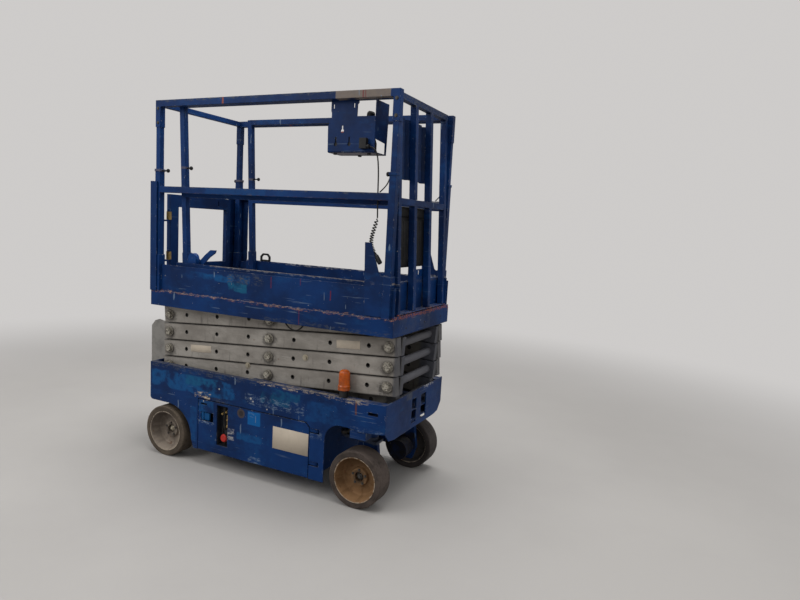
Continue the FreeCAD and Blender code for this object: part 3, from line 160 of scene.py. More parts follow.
def edgeMask(place, radius=0.004):  # 1 along outside and inside edges, 0 on flats
    rounded = place.node("ShaderNodeBevel", {"samples": 4}, {"Radius": radius})
    normal = place.node("ShaderNodeNewGeometry", None, None, 1)
    flat = place.node("ShaderNodeVectorMath", {"operation": "DOT_PRODUCT"}, {0: rounded, 1: normal}, 1)
    return (1 - flat).ease(0.01, 0.16), rounded


def plastic(name, tone, roughness=0.5, dusty=0.35, bump=0.2, ribs=0.0):
    material, shader, place = newFinish(name)
    fine = place.grain(120, 4, 0.65)
    cloud = place.grain(12, 4, 0.65)
    colour = (cloud.ease(0.45, 0.7) * dusty).tint(tone, tuple(v * 0.7 + 0.035 for v in tone))
    edge, rounded = edgeMask(place, 0.002)
    colour = (edge * fine.ease(0.5, 0.6) * 0.3).tint(colour, tuple(v * 0.6 + 0.12 for v in tone))
    height = fine * 0.8
    if ribs:
        height = height + (place.axes()[2] * ribs).maths("SINE")
    shader.inputs["Specular IOR Level"].default_value = 0.25
    return finishWith(material, shader, colour, fine * 0.15 + roughness, height, bump, None, rounded)


# Cords, first of all the pieces: points of each route, the same as the solid tubes follow
cordRubber = plastic("cordRubber", (0.010, 0.009, 0.009), 0.5, 0.45, 0.25)
lanyardRubber = plastic("lanyardRubber", (0.022, 0.020, 0.019), 0.45, 0.4, 0.4, 4200.0)
cords = {
    "controlCable": {
        "node": "control_cable", "diameter": 0.007, "length": 0.366,
        "points": [(0.7212, -0.341, 1.836), (0.748, -0.338, 1.829), (0.763, -0.330, 1.794),
                   (0.767, -0.3215, 1.722), (0.769, -0.3215, 1.640), (0.771, -0.3215, 1.560),
                   (0.776, -0.325, 1.492)]},
    "nearLanyard": {
        "node": "near_lanyard", "diameter": 0.006, "length": 0.095,
        "points": [(0.8465, -0.347, 1.693), (0.838, -0.347, 1.664), (0.816, -0.347, 1.636),
                   (0.793, -0.347, 1.6165)]},
    "farLanyard": {
        "node": "far_lanyard", "diameter": 0.006, "length": 0.091,
        "points": [(0.8465, 0.347, 1.693), (0.840, 0.347, 1.664), (0.820, 0.347, 1.636),
                   (0.800, 0.347, 1.6165)]},
    "stackCable": {
        "node": "stack_cable", "diameter": 0.008, "length": 0.352,
        "points": [(0.222, -0.331, 1.0092), (0.229, -0.331, 0.950), (0.252, -0.331, 0.900),
                   (0.290, -0.331, 0.874), (0.332, -0.331, 0.873), (0.366, -0.331, 0.902),
                   (0.384, -0.331, 0.950), (0.390, -0.331, 1.0092)]},
}
coil = {
    "points": [(0.776, -0.325, 1.4886), (0.762, -0.328, 1.440), (0.752, -0.334, 1.390),
               (0.757, -0.3397, 1.348), (0.777, -0.3397, 1.320)],
    "across": 0.0225, "wire": 0.0060, "turns": 15, "pointsPerTurn": 14, "opens": 1.7, "length": 0.735}


def cordCurve(name, points, diameter, order=3):
    data = bpy.data.curves.new(name, "CURVE")
    data.dimensions = "3D"
    data.resolution_u = 12
    data.bevel_depth = diameter / 2
    data.bevel_resolution = 3
    data.use_fill_caps = True
    spline = data.splines.new("NURBS")
    spline.points.add(len(points) - 1)
    for point, place in zip(spline.points, points):
        point.co = (*place, 1)
    spline.order_u = order
    spline.use_endpoint_u = True
    curve = bpy.data.objects.new(name, data)
    bpy.context.collection.objects.link(curve)
    return curve


def routeLine(points):  # the smooth line itself, read from the spline
    curve = cordCurve("routeProbe", points, 0)
    bpy.context.view_layer.update()
    mesh = bpy.data.meshes.new_from_object(curve.evaluated_get(bpy.context.evaluated_depsgraph_get()))
    line = [vertex.co.copy() for vertex in mesh.vertices]
    bpy.data.objects.remove(curve)
    bpy.data.meshes.remove(mesh)
    return line


def roundabout(first, second, angle):  # the way out from an axis at one angle
    return first * math.cos(angle) + second * math.sin(angle)


def helixRound(line, radius, turns, pointsPerTurn, opens):
    spans = [0.0]
    for before, after in zip(line, line[1:]):
        spans.append(spans[-1] + (after - before).length)
    count = turns * pointsPerTurn
    side = Vector((0, -1, 0))
    made = []
    for step in range(count + 1):
        left = 1 - step / count  # turns draw apart towards the top, where the cord's weight hangs
        share = 1 - (left + (opens - 1) * left ** 2) / opens
        along = share * spans[-1]
        index = max(1, next((i for i, span in enumerate(spans) if span > along), len(spans) - 1))
        before, after = line[index - 1], line[index]
        middle = before.lerp(after, (along - spans[index - 1]) / max(spans[index] - spans[index - 1], 1e-9))
        heading = (after - before).normalized()
        first = (side - heading * side.dot(heading)).normalized()
        angle = 2 * math.pi * step / pointsPerTurn
        fade = min(1.0, step / pointsPerTurn, (count - step) / pointsPerTurn)
        made.append(middle + roundabout(first, heading.cross(first), angle) * radius * fade)
    return made


def dressCord(curve, finish, node):
    curve.data.materials.append(finish)
    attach(curve, "platform")
    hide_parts(node)


for name, cord in cords.items():
    piece = cordCurve(name, cord["points"], cord["diameter"])
    dressCord(piece, lanyardRubber if "Lanyard" in name else cordRubber, cord["node"])
helixPath = helixRound(routeLine(coil["points"]), (coil["across"] - coil["wire"]) / 2, coil["turns"],
                       coil["pointsPerTurn"], coil["opens"])
coilPiece = cordCurve("cableCoil", helixPath, coil["wire"])
coilPiece.data.resolution_u = 2
dressCord(coilPiece, cordRubber, "cable_coil")
print("cords made")


def patchMask(place, wobble, low, high, soft=0.004):  # 1 inside a box whose sides wander a little
    mask = None
    for axis, a, b in zip(place.axes(), low, high):
        moved = axis + wobble
        inside = moved.ease(a - soft, a + soft) * (1 - moved.ease(b - soft, b + soft))
        mask = inside if mask is None else mask * inside
    return mask


def dotMask(place, centre, radius, soft=0.0008):  # 1 inside a ball
    away = place.node("ShaderNodeVectorMath", {"operation": "DISTANCE"}, {0: place, 1: centre}, 1)
    return 1 - away.ease(radius - soft, radius + soft)


# Blue paint, worn: base tones, repainted patches, scraped edges, scratches, rust, dust on what faces up
paintTones = {
    "deep": (0.0015, 0.0125, 0.056), "main": (0.0022, 0.0275, 0.120), "mild": (0.0032, 0.045, 0.158),
    "bright": (0.004, 0.072, 0.215), "vivid": (0.002, 0.098, 0.310), "teal": (0.005, 0.085, 0.170),
    "scratch": (0.16, 0.22, 0.30), "white": (0.46, 0.45, 0.43), "cream": (0.52, 0.42, 0.29),
    "rust": (0.11, 0.038, 0.016), "orange": (0.33, 0.085, 0.018), "red": (0.14, 0.012, 0.020),
    "grime": (0.008, 0.007, 0.007), "grey": (0.062, 0.070, 0.085), "tape": (0.165, 0.135, 0.115),
    "dust": (0.115, 0.108, 0.100), "brown": (0.060, 0.045, 0.036),
}
firmTones = ("tape", "red", "orange", "vivid", "rust")  # patches of these have sharp, straight sides
paintMarks = {  # noise scale, detail, roughness, levels that the mask runs between, stretch, shift
    "streaks": (6, 5, 0.7, 0.50, 0.72, (1.0, 1.0, 2.4), (3, 1, 7)),
    "lines": (46, 2, 0.5, 0.685, 0.70, (0.10, 0.10, 2.2), (1, 5, 2)),
    "lineFields": (5, 2, 0.5, 0.48, 0.60, (1, 1, 1), (8, 3, 1)),
    "ticks": (30, 2, 0.5, 0.732, 0.745, (1.5, 1.5, 0.28), (4, 9, 3)),
    "dabs": (52, 5, 0.72, 0.690, 0.710, (1, 1, 0.8), (4, 9, 3)),
    "broken": (85, 5, 0.72, 0.48, 0.57, (0.45, 1, 1.6)),
    "chips": (36, 5, 0.7, 0.57, 0.62, (1, 1, 1), (6, 2, 5)),
    "rust": (19, 5, 0.7, 0.60, 0.65, (1, 1, 1), (2, 7, 4)),
    "drips": (15, 4, 0.65, 0.72, 0.78, (1, 1, 0.12), (5, 5, 5)),
}


def bluePaint(name, patches=(), scrapes=(), dots=(), rusty=0.5, dusty=0.5, shade=1.0, chipped=0.7):
    material, shader, place = newFinish(name)
    marks = {mark: place.blots(*noise) for mark, noise in paintMarks.items()}
    cloud = place.grain(2.1, 5, 0.62)
    fine = place.grain(38, 4, 0.65)
    speck = place.grain(150, 3, 0.6)
    edge, rounded = edgeMask(place)
    colour = cloud.ease(0.36, 0.64).tint(scaled(paintTones["deep"], shade), scaled(paintTones["main"], shade))
    colour = (marks["streaks"] * 0.55).tint(colour, scaled(paintTones["mild"], shade))
    for low, high, tone, amount in patches:
        firm = tone in firmTones
        wobble = (place.grain(8, 3, 0.55) - 0.5) * (0.012 if firm else 0.060)
        wobble = wobble + (place.grain(60, 4, 0.7) - 0.5) * (0.002 if firm else 0.014)
        patch = patchMask(place, wobble, low, high, 0.0015 if firm else 0.006) * amount
        colour = (patch * (fine * 0.7 + 0.62)).capped().tint(colour, paintTones[tone])
    colour = (marks["lines"] * marks["lineFields"] * 0.35).tint(colour, paintTones["scratch"])
    colour = (marks["ticks"] * 0.6).tint(colour, paintTones["scratch"])
    colour = (marks["dabs"] * 0.8).tint(colour, paintTones["white"])
    for low, high, tone, amount in scrapes:
        wobble = (place.grain(16, 4, 0.7) - 0.5) * 0.05
        scrape = patchMask(place, wobble, low, high, 0.005) * marks["broken"] * amount
        colour = scrape.tint(colour, paintTones[tone])
    for centre, radius, tone, amount in dots:
        colour = (dotMask(place, centre, radius) * amount).tint(colour, paintTones[tone])
    chips = edge * marks["chips"]
    colour = (chips * chipped).tint(colour, paintTones["white"])
    rust = edge * marks["rust"] * rusty + marks["drips"] * rusty * 0.6
    colour = rust.capped().tint(colour, paintTones["rust"])
    upward = place.node("ShaderNodeNewGeometry", None, None, 1).axes()[2]
    dust = upward.ease(0.5, 0.95) * fine.ease(0.32, 0.62) * dusty
    colour = dust.tint(colour, paintTones["dust"])
    roughness = (fine * 0.25 + 0.40 + dust * 0.3 + chips * 0.2).maths("MINIMUM", 0.95)
    height = speck * 0.25 + fine * 0.35 - chips * 0.9 - marks["ticks"] * 0.5 - marks["dabs"] * 0.4
    shader.inputs["Specular IOR Level"].default_value = 0.13
    return finishWith(material, shader, colour, roughness, height, 0.4, None, rounded)


def onFace(depth, *rows):  # marks on a face square to Y: x from and to, z from and to, tone, amount
    return [((x, depth[0], z), (toX, depth[1], toZ), tone, amount) for x, toX, z, toZ, tone, amount in rows]


nearSide, farSide = (-0.372, -0.363), (0.363, 0.372)
nearToe, farToe, nearSkirt = (-0.354, -0.343), (0.343, 0.354), (-0.369, -0.363)
nearRail, farRail, midRail = (-0.37, -0.32), (0.32, 0.37), (-0.37, -0.36)
chassisPatches = onFace(
    nearSide, (-0.69, -0.052, 0.425, 0.524, "bright", 0.85), (-0.42, -0.18, 0.47, 0.524, "teal", 0.7),
    (0.134, 0.390, 0.452, 0.545, "teal", 0.55), (0.43, 0.62, 0.41, 0.52, "mild", 0.8),
    (-0.384, -0.333, 0.135, 0.345, "bright", 0.45), (0.728, 0.738, 0.495, 0.582, "rust", 0.8),
    (0.862, 0.866, 0.41, 0.46, "white", 0.5))
chassisPatches += onFace(
    farSide, (-0.69, 0.10, 0.43, 0.53, "bright", 0.7), (0.25, 0.42, 0.44, 0.54, "teal", 0.5))
chassisPatches.append(((0.90, -0.136, 0.535), (0.91, -0.062, 0.60), "grey", 0.75))
chassisScrapes = onFace(
    nearSide, (-0.345, -0.225, 0.405, 0.440, "cream", 1.0), (-0.21, -0.10, 0.400, 0.425, "grey", 0.8),
    (0.02, 0.42, 0.43, 0.49, "scratch", 0.6), (0.44, 0.54, 0.32, 0.36, "scratch", 0.35),
    (0.70, 0.90, 0.40, 0.43, "scratch", 0.5))
chassisScrapes += onFace(
    (-0.372, -0.33), (0.10, 0.80, 0.552, 0.585, "cream", 0.62), (-0.72, 0.10, 0.540, 0.572, "grey", 0.6))
chassisScrapes += onFace(
    (0.33, 0.372), (0.30, 0.75, 0.545, 0.585, "white", 0.7), (-0.72, 0.10, 0.545, 0.585, "grey", 0.7))
chassisScrapes.append(((0.895, 0.10, 0.56), (0.91, 0.24, 0.61), "white", 1.0))
chassisDots = [((0.062, -0.37, 0.462), 0.0065, "white", 0.8), ((0.078, -0.37, 0.448), 0.005, "white", 0.7),
               ((-0.165, -0.37, 0.478), 0.005, "white", 0.8), ((0.175, -0.37, 0.42), 0.004, "white", 0.8)]
trayPatches = onFace(
    nearSide, (0.045, 0.131, 0.312, 0.388, "vivid", 0.9), (-0.029, 0.190, 0.212, 0.254, "bright", 0.75),
    (-0.318, -0.205, 0.325, 0.395, "bright", 0.6), (0.10, 0.22, 0.09, 0.20, "mild", 0.6))
trayPatches += onFace(farSide, (0.05, 0.28, 0.20, 0.34, "bright", 0.6))
trayScrapes = onFace(
    nearSide, (-0.32, -0.20, 0.255, 0.275, "scratch", 0.9), (-0.10, -0.05, 0.19, 0.26, "white", 0.6),
    (0.05, 0.14, 0.09, 0.13, "scratch", 0.6), (0.05, 0.09, 0.355, 0.38, "scratch", 0.9))
trayDots = [((-0.004, -0.37, 0.364), 0.027, "brown", 0.85), ((-0.004, -0.37, 0.364), 0.015, "grime", 0.5),
            ((-0.281, -0.37, 0.388), 0.004, "white", 0.8)]
deckPatches = onFace(
    nearToe, (-0.417, -0.105, 1.095, 1.130, "bright", 0.8), (-0.133, 0.002, 1.046, 1.095, "teal", 1.0),
    (-0.133, 0.018, 1.100, 1.140, "bright", 0.6), (0.162, 0.166, 1.088, 1.150, "red", 0.9),
    (0.538, 0.543, 1.060, 1.110, "red", 0.9), (0.35, 0.354, 1.120, 1.156, "red", 0.6))
deckPatches += onFace(nearSkirt, (0.36, 0.364, 0.915, 0.99, "red", 0.7))
deckPatches += onFace(farToe, (-0.40, 0.05, 1.03, 1.11, "bright", 0.6))
deckPatches.append(((0.912, -0.30, 0.913), (0.918, 0.10, 1.000), "grey", 0.35))
deckPatches += onFace((-0.354, -0.30), (-0.30, 0.90, 1.1705, 1.18, "tape", 0.75))
deckScrapes = onFace(
    nearToe, (-0.135, 0.021, 1.095, 1.142, "grey", 1.0), (0.033, 0.104, 1.090, 1.152, "grey", 0.8))
deckScrapes += onFace(
    (-0.369, -0.34), (-0.71, 0.93, 0.994, 1.003, "orange", 0.6), (-0.71, 0.93, 0.996, 1.003, "cream", 0.42))
deckScrapes += onFace((-0.354, -0.30), (-0.30, 0.93, 1.1665, 1.18, "white", 0.35))
deckScrapes += [((0.90, -0.37, 0.998), (0.93, 0.37, 1.02), "orange", 0.9),
                ((0.85, -0.33, 1.165), (0.93, 0.33, 1.18), "grey", 0.8)]
deckScrapes += onFace((0.34, 0.37), (-0.72, 0.93, 0.985, 1.004, "orange", 0.7))
deckScrapes += onFace((0.30, 0.354), (-0.60, 0.93, 1.1665, 1.18, "white", 0.7))
deckScrapes += onFace((-0.369, -0.36), (0.10, 0.90, 0.905, 0.935, "grey", 0.6))
deckDots = [((0.915, y, z), 0.0055, "grime", 1.0) for y, z in ((-0.215, 0.944), (0.02, 0.95), (0.255, 0.956))]
railPatches = onFace(
    nearRail, (0.531, 0.835, 2.062, 2.105, "tape", 1.0), (0.683, 0.690, 2.062, 2.105, "red", 0.8),
    (0.697, 0.702, 2.062, 2.105, "red", 0.7), (-0.192, -0.180, 2.065, 2.105, "orange", 0.7),
    (-0.69, -0.64, 1.699, 1.711, "tape", 0.45))
railPatches += onFace(
    midRail, (-0.005, 0.030, 1.558, 1.586, "grey", 1.0), (-0.30, 0.12, 1.575, 1.613, "mild", 0.7))
railPatches += onFace(
    farRail, (-0.25, -0.23, 2.062, 2.105, "red", 0.7), (-0.69, -0.64, 1.699, 1.711, "tape", 0.45))
railPatches += onFace((-0.32, -0.27), (-0.56, -0.49, 1.718, 1.731, "tape", 0.4))
railPatches += onFace((0.27, 0.32), (-0.56, -0.49, 1.708, 1.721, "tape", 0.4))
railScrapes = onFace(
    nearRail, (-0.65, 0.85, 1.609, 1.62, "grey", 0.8), (-0.65, 0.53, 2.094, 2.105, "grey", 1.0),
    (-0.65, 0.85, 1.575, 1.578, "rust", 0.7))
railScrapes += onFace(
    farRail, (-0.65, 0.85, 1.606, 1.62, "white", 0.6), (-0.70, 0.85, 2.094, 2.105, "grey", 0.8))
railScrapes.append(((0.83, -0.31, 2.06), (0.87, 0.31, 2.105), "grey", 0.7))
yokePatches = [((0.60, -0.2245, 0.05), (0.90, -0.12, 0.24), "grime", 0.93),
               ((0.60, 0.12, 0.05), (0.90, 0.2245, 0.24), "grime", 0.93),
               ((0.50, -0.40, 0.309), (0.90, -0.12, 0.35), "grey", 0.7)]
latchPatches = [((-0.40, -0.40, 0.2), (-0.1, -0.3, 0.4), "bright", 0.9)]
gateDots = [((-0.705, -0.262, z), 0.02, "brown", 0.6) for z in (1.2, 1.44)]
paintLooks = {  # patches, scrapes, dots, then how rusty, dusty, light and chipped
    "chassisPaint": (chassisPatches, chassisScrapes, chassisDots, 0.45),
    "trayPaint": (trayPatches, trayScrapes, trayDots, 0.3),
    "deckPaint": (deckPatches, deckScrapes, deckDots, 0.5, 0.45),
    "railPaint": (railPatches, railScrapes, (), 0.5, 0.5),
    "gatePaint": ((), (), gateDots, 0.45, 0.4, 0.8),
    "panelPaint": ((), (), (), 0.25, 0.3, 0.55, 0.4),
    "yokePaint": (yokePatches, (), (), 0.3, 0.4, 0.7, 0.3),
    "leverPaint": ((), (), (), 0.3, 0.3, 1.5, 0.6),
    "latchPaint": (latchPatches, (), (), 0.2, 0.2, 1.0, 0.5),
}
everyFinish = {name: bluePaint(name, *look) for name, look in paintLooks.items()}
print("blue paints made")


# Grey arms: dull grey paint, painted shade in the seams between rows, greasy halos under bright pivot bolts
armTones = {"light": (0.315, 0.292, 0.262), "dull": (0.185, 0.168, 0.148), "grime": (0.030, 0.025, 0.021),
            "rust": (0.12, 0.050, 0.022), "bare": (0.40, 0.38, 0.35), "bolt": (0.46, 0.43, 0.36),
            "front": (0.062, 0.063, 0.072), "tube": (0.085, 0.090, 0.112), "hole": (0.012, 0.011, 0.010)}
stack = {"rearX": -0.620, "lowZ": 0.544, "pitch": 0.103, "span": 1.490, "side": 0.300, "rearFar": 0.871,
         "pins": (0.0, 0.5, 1.0), "halo": (0.060, 0.44), "haloRow": 0.40, "bore": 0.0122, "boreEdge": 0.0006,
         "holes": (-0.612, -0.378, -0.147, 0.165, 0.397, 0.629)}
stack["tilt"] = math.asin(stack["pitch"] / stack["span"])
stack["reach"] = stack["span"] * math.cos(stack["tilt"])
armMarks = {
    "smears": (7, 5, 0.72, 0.50, 0.70, (0.45, 1, 2.4), (3, 2, 1)),
    "runs": (20, 4, 0.7, 0.56, 0.68, (1.4, 1, 0.22), (9, 1, 3)),
    "spots": (24, 5, 0.72, 0.66, 0.72, (1, 1, 1), (7, 1, 3)),
    "rub": (30, 4, 0.7, 0.50, 0.60, (1, 1, 1), (1, 6, 2)),
    "lines": (70, 3, 0.5, 0.67, 0.70, (0.10, 1, 2), (2, 2, 8)),
    "worn": (21, 4, 0.7, 0.42, 0.60, (1, 1, 1), (2, 4, 6)),
    "pitted": (120, 4, 0.7, 0.42, 0.60),
}


def armPaint(name, lean, shade=1.0, darkFrom=0.018):
    material, shader, place = newFinish(name)
    marks = {mark: place.blots(*noise) for mark, noise in armMarks.items()}
    tones = {key: scaled(value, shade) for key, value in armTones.items()}
    x, y, z = place.axes()
    cosine, sine = math.cos(stack["tilt"]), lean * math.sin(stack["tilt"])
    middleX = stack["rearX"] + stack["reach"] / 2
    across = z * cosine - x * sine  # height square to the tubes of this pair
    base = (stack["lowZ"] + stack["pitch"] / 2) * cosine - middleX * sine
    row = ((across - base) * (1 / (stack["pitch"] * cosine)) + 0.5).maths("FRACT")
    # painted shade: the top and bottom of each row darken where the tubes of neighbouring rows meet
    seam = (row - 0.5).maths("ABSOLUTE").ease(0.40, 0.49)
    cloud = place.grain(3.1, 5, 0.65, (1, 1, 2))
    fine = place.grain(45, 4, 0.65)
    edge, rounded = edgeMask(place, 0.003)
    colour = cloud.ease(0.34, 0.66).tint(tones["dull"], tones["light"])
    colour = (marks["smears"] * 0.6).tint(colour, tones["dull"])
    for share in stack["pins"]:
        aside = ((x - stack["rearX"] - stack["reach"] * share) * (1 / stack["halo"][0])).maths("ABSOLUTE")
        height = ((row - stack["haloRow"]) * (1 / stack["halo"][1])).maths("ABSOLUTE")
        away = (aside * aside + height * height).maths("SQRT") + (fine - 0.5) * 1.3
        colour = ((1 - away.ease(0.40, 1.05)) * 0.78).tint(colour, tones["grime"])
    runs = marks["runs"] * (1 - row.ease(0.3, 0.9))
    colour = (runs * 0.5).tint(colour, tones["grime"])
    # painted shade in the seams between rows, laid on in the grime tone
    colour = (seam * (fine * 0.6 + 0.6)).maths("MINIMUM", 0.95).tint(colour, tones["grime"])
    colour = (marks["spots"] * 0.55).tint(colour, tones["rust"])
    colour = (edge * marks["rub"] * 0.5).tint(colour, tones["bare"])
    colour = (marks["lines"] * 0.5).tint(colour, tones["bare"])
    offset = (row - 0.5) * (stack["pitch"] * cosine)
    along = (x - middleX + offset * sine) * (1 / cosine)
    # painted shade: flat dark discs where the arms' holes are, standing in for the shade inside them
    for spot in stack["holes"]:
        away = ((along - spot) * (along - spot) + offset * offset).maths("SQRT")
        bore = 1 - away.ease(stack["bore"] - stack["boreEdge"], stack["bore"] + stack["boreEdge"])
        colour = bore.tint(colour, armTones["hole"])
    # painted shade: the front ends of the arms and their cross tubes are painted dark, and the tubes keep
    # some of their own bluish grey
    front = x - stack["rearFar"]
    colour = (front.ease(darkFrom, darkFrom + 0.018) * 0.85).tint(colour, tones["front"])
    outward = y.maths("ABSOLUTE")
    tubes = (1 - outward.ease(0.225, 0.245)) * front.ease(-0.06, -0.035)
    colour = (tubes * 0.8).tint(colour, (fine * 1.2).capped().tint(tones["front"], armTones["tube"]))
    bolt = outward.ease(stack["side"] + 0.0004, stack["side"] + 0.0012)
    head = outward.ease(stack["side"] + 0.0045, stack["side"] + 0.0055)
    washer = (fine.ease(0.40, 0.60) * 0.8).tint(tones["dull"], tones["grime"])
    capped = (marks["pitted"] * 0.8).tint(tones["bolt"], tones["grime"])
    colour = bolt.tint(colour, head.tint(washer, (marks["worn"] * 0.35).tint(capped, tones["dull"])))
    roughness = (fine * 0.3 + 0.45 - seam * 0.12 - bolt * 0.15).maths("MAXIMUM", 0.28)
    shader.inputs["Specular IOR Level"].default_value = 0.3
    height = fine * 0.5 + cloud * 0.4 - marks["lines"] * 0.3
    return finishWith(material, shader, colour, roughness, height, 0.3, bolt * 0.55, rounded)


everyFinish["outerArmPaint"] = armPaint("outerArmPaint", 1)
# the inner arms are the same paint at 0.45 of its brightness: painted shade, as they stand inside the stack
everyFinish["innerArmPaint"] = armPaint("innerArmPaint", -1, 0.45, -0.040)
print("arm paints made")


# Tyres and rims: rings are measured from each axle
axles = {"rear": -0.574, "front": 0.746}
wheel = {"radius": 0.1524, "side": 0.323}


def ring(place, centreX):
    x, y, z = place.axes()
    across, up = x - centreX, z - wheel["radius"]
    return (across * across + up * up).maths("SQRT"), up.maths("ARCTAN2", across)


def tyreRubber(name, centreX, tone):
    material, shader, place = newFinish(name)
    radius = ring(place, centreX)[0]
    fine = place.grain(60, 5, 0.7)
    dark = scaled(tone, 0.5)
    colour = place.blots(9, 5, 0.65, 0.35, 0.65).tint(dark, tone)
    shoulder = radius.ease(0.140, 0.150)
    colour = (shoulder * fine.ease(0.35, 0.6) * 0.5).tint(colour, scaled(tone, 1.3))
    cuts = place.blots(34, 4, 0.7, 0.60, 0.66, (0.5, 3, 1), (3, 3, 3)) * shoulder
    colour = (cuts * 0.6).tint(colour, scaled(tone, 0.3))
    scuffs = place.blots(30, 4, 0.7, 0.58, 0.66, (1, 3, 1), (3, 3, 3))
    colour = (scuffs * 0.5).tint(colour, dark)
    hub = 1 - radius.ease(0.121, 0.128)
    colour = (hub * 0.6).tint(colour, scaled(tone, 0.35))
    rings = (radius * 700).maths("SINE")
    shader.inputs["Specular IOR Level"].default_value = 0.2
    height = fine * 0.9 + rings * 0.12 + scuffs * 0.5 - cuts
    return finishWith(material, shader, colour, fine * 0.2 + 0.74, height, 0.6)


rimWear = {"lip": (0.42, 0.35, 0.27), "grease": (0.03, 0.022, 0.016), "rust": (0.10, 0.042, 0.018)}


def rimPaint(name, centreX, tones):
    outer, inner = tones
    material, shader, place = newFinish(name)
    radius, angle = ring(place, centreX)
    fine = place.grain(50, 5, 0.7)
    cloud = place.grain(11, 5, 0.68, (1, 0.4, 1))
    z = place.axes()[2]
    colour = (cloud.ease(0.38, 0.62) * 0.6).tint(outer, inner)
    shaded = z.ease(0.13, 0.25) * radius.ease(0.045, 0.075)
    colour = (shaded * 0.75).tint(colour, inner)
    # painted light: the lower part of the rim is painted lighter, below the shade painted on its upper part
    paintedLowLight = (1 - z.ease(0.05, 0.13)) * radius.ease(0.05, 0.09)
    colour = (paintedLowLight * 0.7).tint(colour, scaled(outer, 1.3))
    spokes = (angle * 7 + cloud * 9).maths("SINE").ease(0.75, 1.0) * radius.ease(0.05, 0.065)
    colour = (spokes * 0.3).tint(colour, inner)
    lip = radius.ease(0.1145, 0.1185)
    colour = (lip * fine.ease(0.40, 0.55) * 0.8).tint(colour, rimWear["lip"])
    grease = (1 - radius.ease(0.024, 0.050)) * fine.ease(0.36, 0.55)
    colour = (grease * 0.8).tint(colour, rimWear["grease"])
    rust = place.blots(23, 5, 0.7, 0.59, 0.66, (1, 1, 1), (3, 1, 2))
    colour = (rust * 0.6).tint(colour, rimWear["rust"])
    shader.inputs["Specular IOR Level"].default_value = 0.2
    return finishWith(material, shader, colour, fine * 0.2 + 0.68, fine * 0.7 + cloud * 0.4, 0.4)


tyreTones = {"near_rear": (0.105, 0.082, 0.061), "near_front": (0.072, 0.056, 0.048)}
# the far wheels get darker tones than the near ones: painted shade
farTyreShade = (0.045, 0.038, 0.036)
rimTones = {"near_rear": ((0.225, 0.188, 0.152), (0.075, 0.060, 0.050)),
            "near_front": ((0.195, 0.110, 0.052), (0.075, 0.036, 0.013))}
farRimShade = ((0.050, 0.045, 0.044), (0.022, 0.019, 0.018))
nodeFinish = {}
for end, centreX in axles.items():
    for side, prefix in (("near_", ""), ("far_", "far_")):
        tyre = prefix + end + "TyreRubber"
        rim = prefix + end + "RimPaint"
        everyFinish[tyre] = tyreRubber(tyre, centreX, tyreTones.get(side + end, farTyreShade))
        everyFinish[rim] = rimPaint(rim, centreX, rimTones.get(side + end, farRimShade))
        nodeFinish[side + end + "_tyre"] = tyre
        nodeFinish[side + end + "_rim"] = rim
print("wheel finishes made")


# Plain finishes with grain, dirt and their own bump
def steel(name, tone, roughness=0.42, metallic=0.85, dirt=0.5):
    material, shader, place = newFinish(name)
    fine = place.grain(70, 4, 0.65)
    cloud = place.grain(14, 4, 0.65)
    colour = (cloud.ease(0.42, 0.66) * dirt).tint(tone, scaled(tone, 0.25))
    rust = place.blots(33, 5, 0.7, 0.60, 0.68, (1, 1, 1), (5, 2, 7))
    colour = (rust * dirt).tint(colour, (0.12, 0.05, 0.022))
    metal = (1 - cloud.ease(0.45, 0.65) * 0.5) * metallic if metallic else 0.0
    return finishWith(material, shader, colour, fine * 0.3 + roughness, fine * 0.6, 0.25, metal)


amber = {"clear": (0.62, 0.115, 0.004), "deep": (0.42, 0.070, 0.004), "grime": (0.20, 0.055, 0.012),
         "foot": (0.30, 0.060, 0.006), "footFrom": 0.6125, "footTo": 0.6385}


def amberLens(name):
    material, shader, place = newFinish(name)
    fine = place.grain(40, 4, 0.6)
    colour = fine.ease(0.4, 0.65).tint(amber["clear"], amber["deep"])
    colour = (place.blots(9, 4, 0.7, 0.50, 0.70, (1, 1, 2)) * 0.5).tint(colour, amber["grime"])
    foot = 1 - place.axes()[2].ease(amber["footFrom"], amber["footTo"])
    colour = (foot * 0.5).tint(colour, amber["foot"])
    shader.inputs["Transmission Weight"].default_value = 0.25
    shader.inputs["Specular IOR Level"].default_value = 0.35
    return finishWith(material, shader, colour, fine * 0.15 + 0.26, fine * 0.6, 0.3)


plate = {"blue": (0.009, 0.022, 0.050), "worn": (0.030, 0.040, 0.058), "trodden": (0.105, 0.098, 0.090),
         "ridge": (0.24, 0.225, 0.205), "ridgeFrom": 1.0256, "ridgeTo": 1.0266}


def checkerPlate(name):  # deck floor, worn through on its ridges
    material, shader, place = newFinish(name)
    fine = place.grain(45, 4, 0.65)
    cloud = place.grain(3.5, 5, 0.65)
    rounded = edgeMask(place, 0.002)[1]
    colour = cloud.ease(0.35, 0.65).tint(plate["blue"], plate["worn"])
    trodden = cloud.ease(0.50, 0.70) * fine.ease(0.35, 0.60)
    colour = (trodden * 0.6).tint(colour, plate["trodden"])
    high = place.axes()[2].ease(plate["ridgeFrom"], plate["ridgeTo"])
    colour = (high * fine.ease(0.30, 0.50) * 0.7).tint(colour, plate["ridge"])
    rust = place.blots(17, 5, 0.7, 0.62, 0.68, (1, 1, 1), (3, 2, 8))
    colour = (rust * 0.6).tint(colour, paintTones["rust"])
    shader.inputs["Specular IOR Level"].default_value = 0.25
    roughness = fine * 0.25 + 0.5 - high * 0.1
    return finishWith(material, shader, colour, roughness, fine * 0.6, 0.3, high * 0.3, rounded)


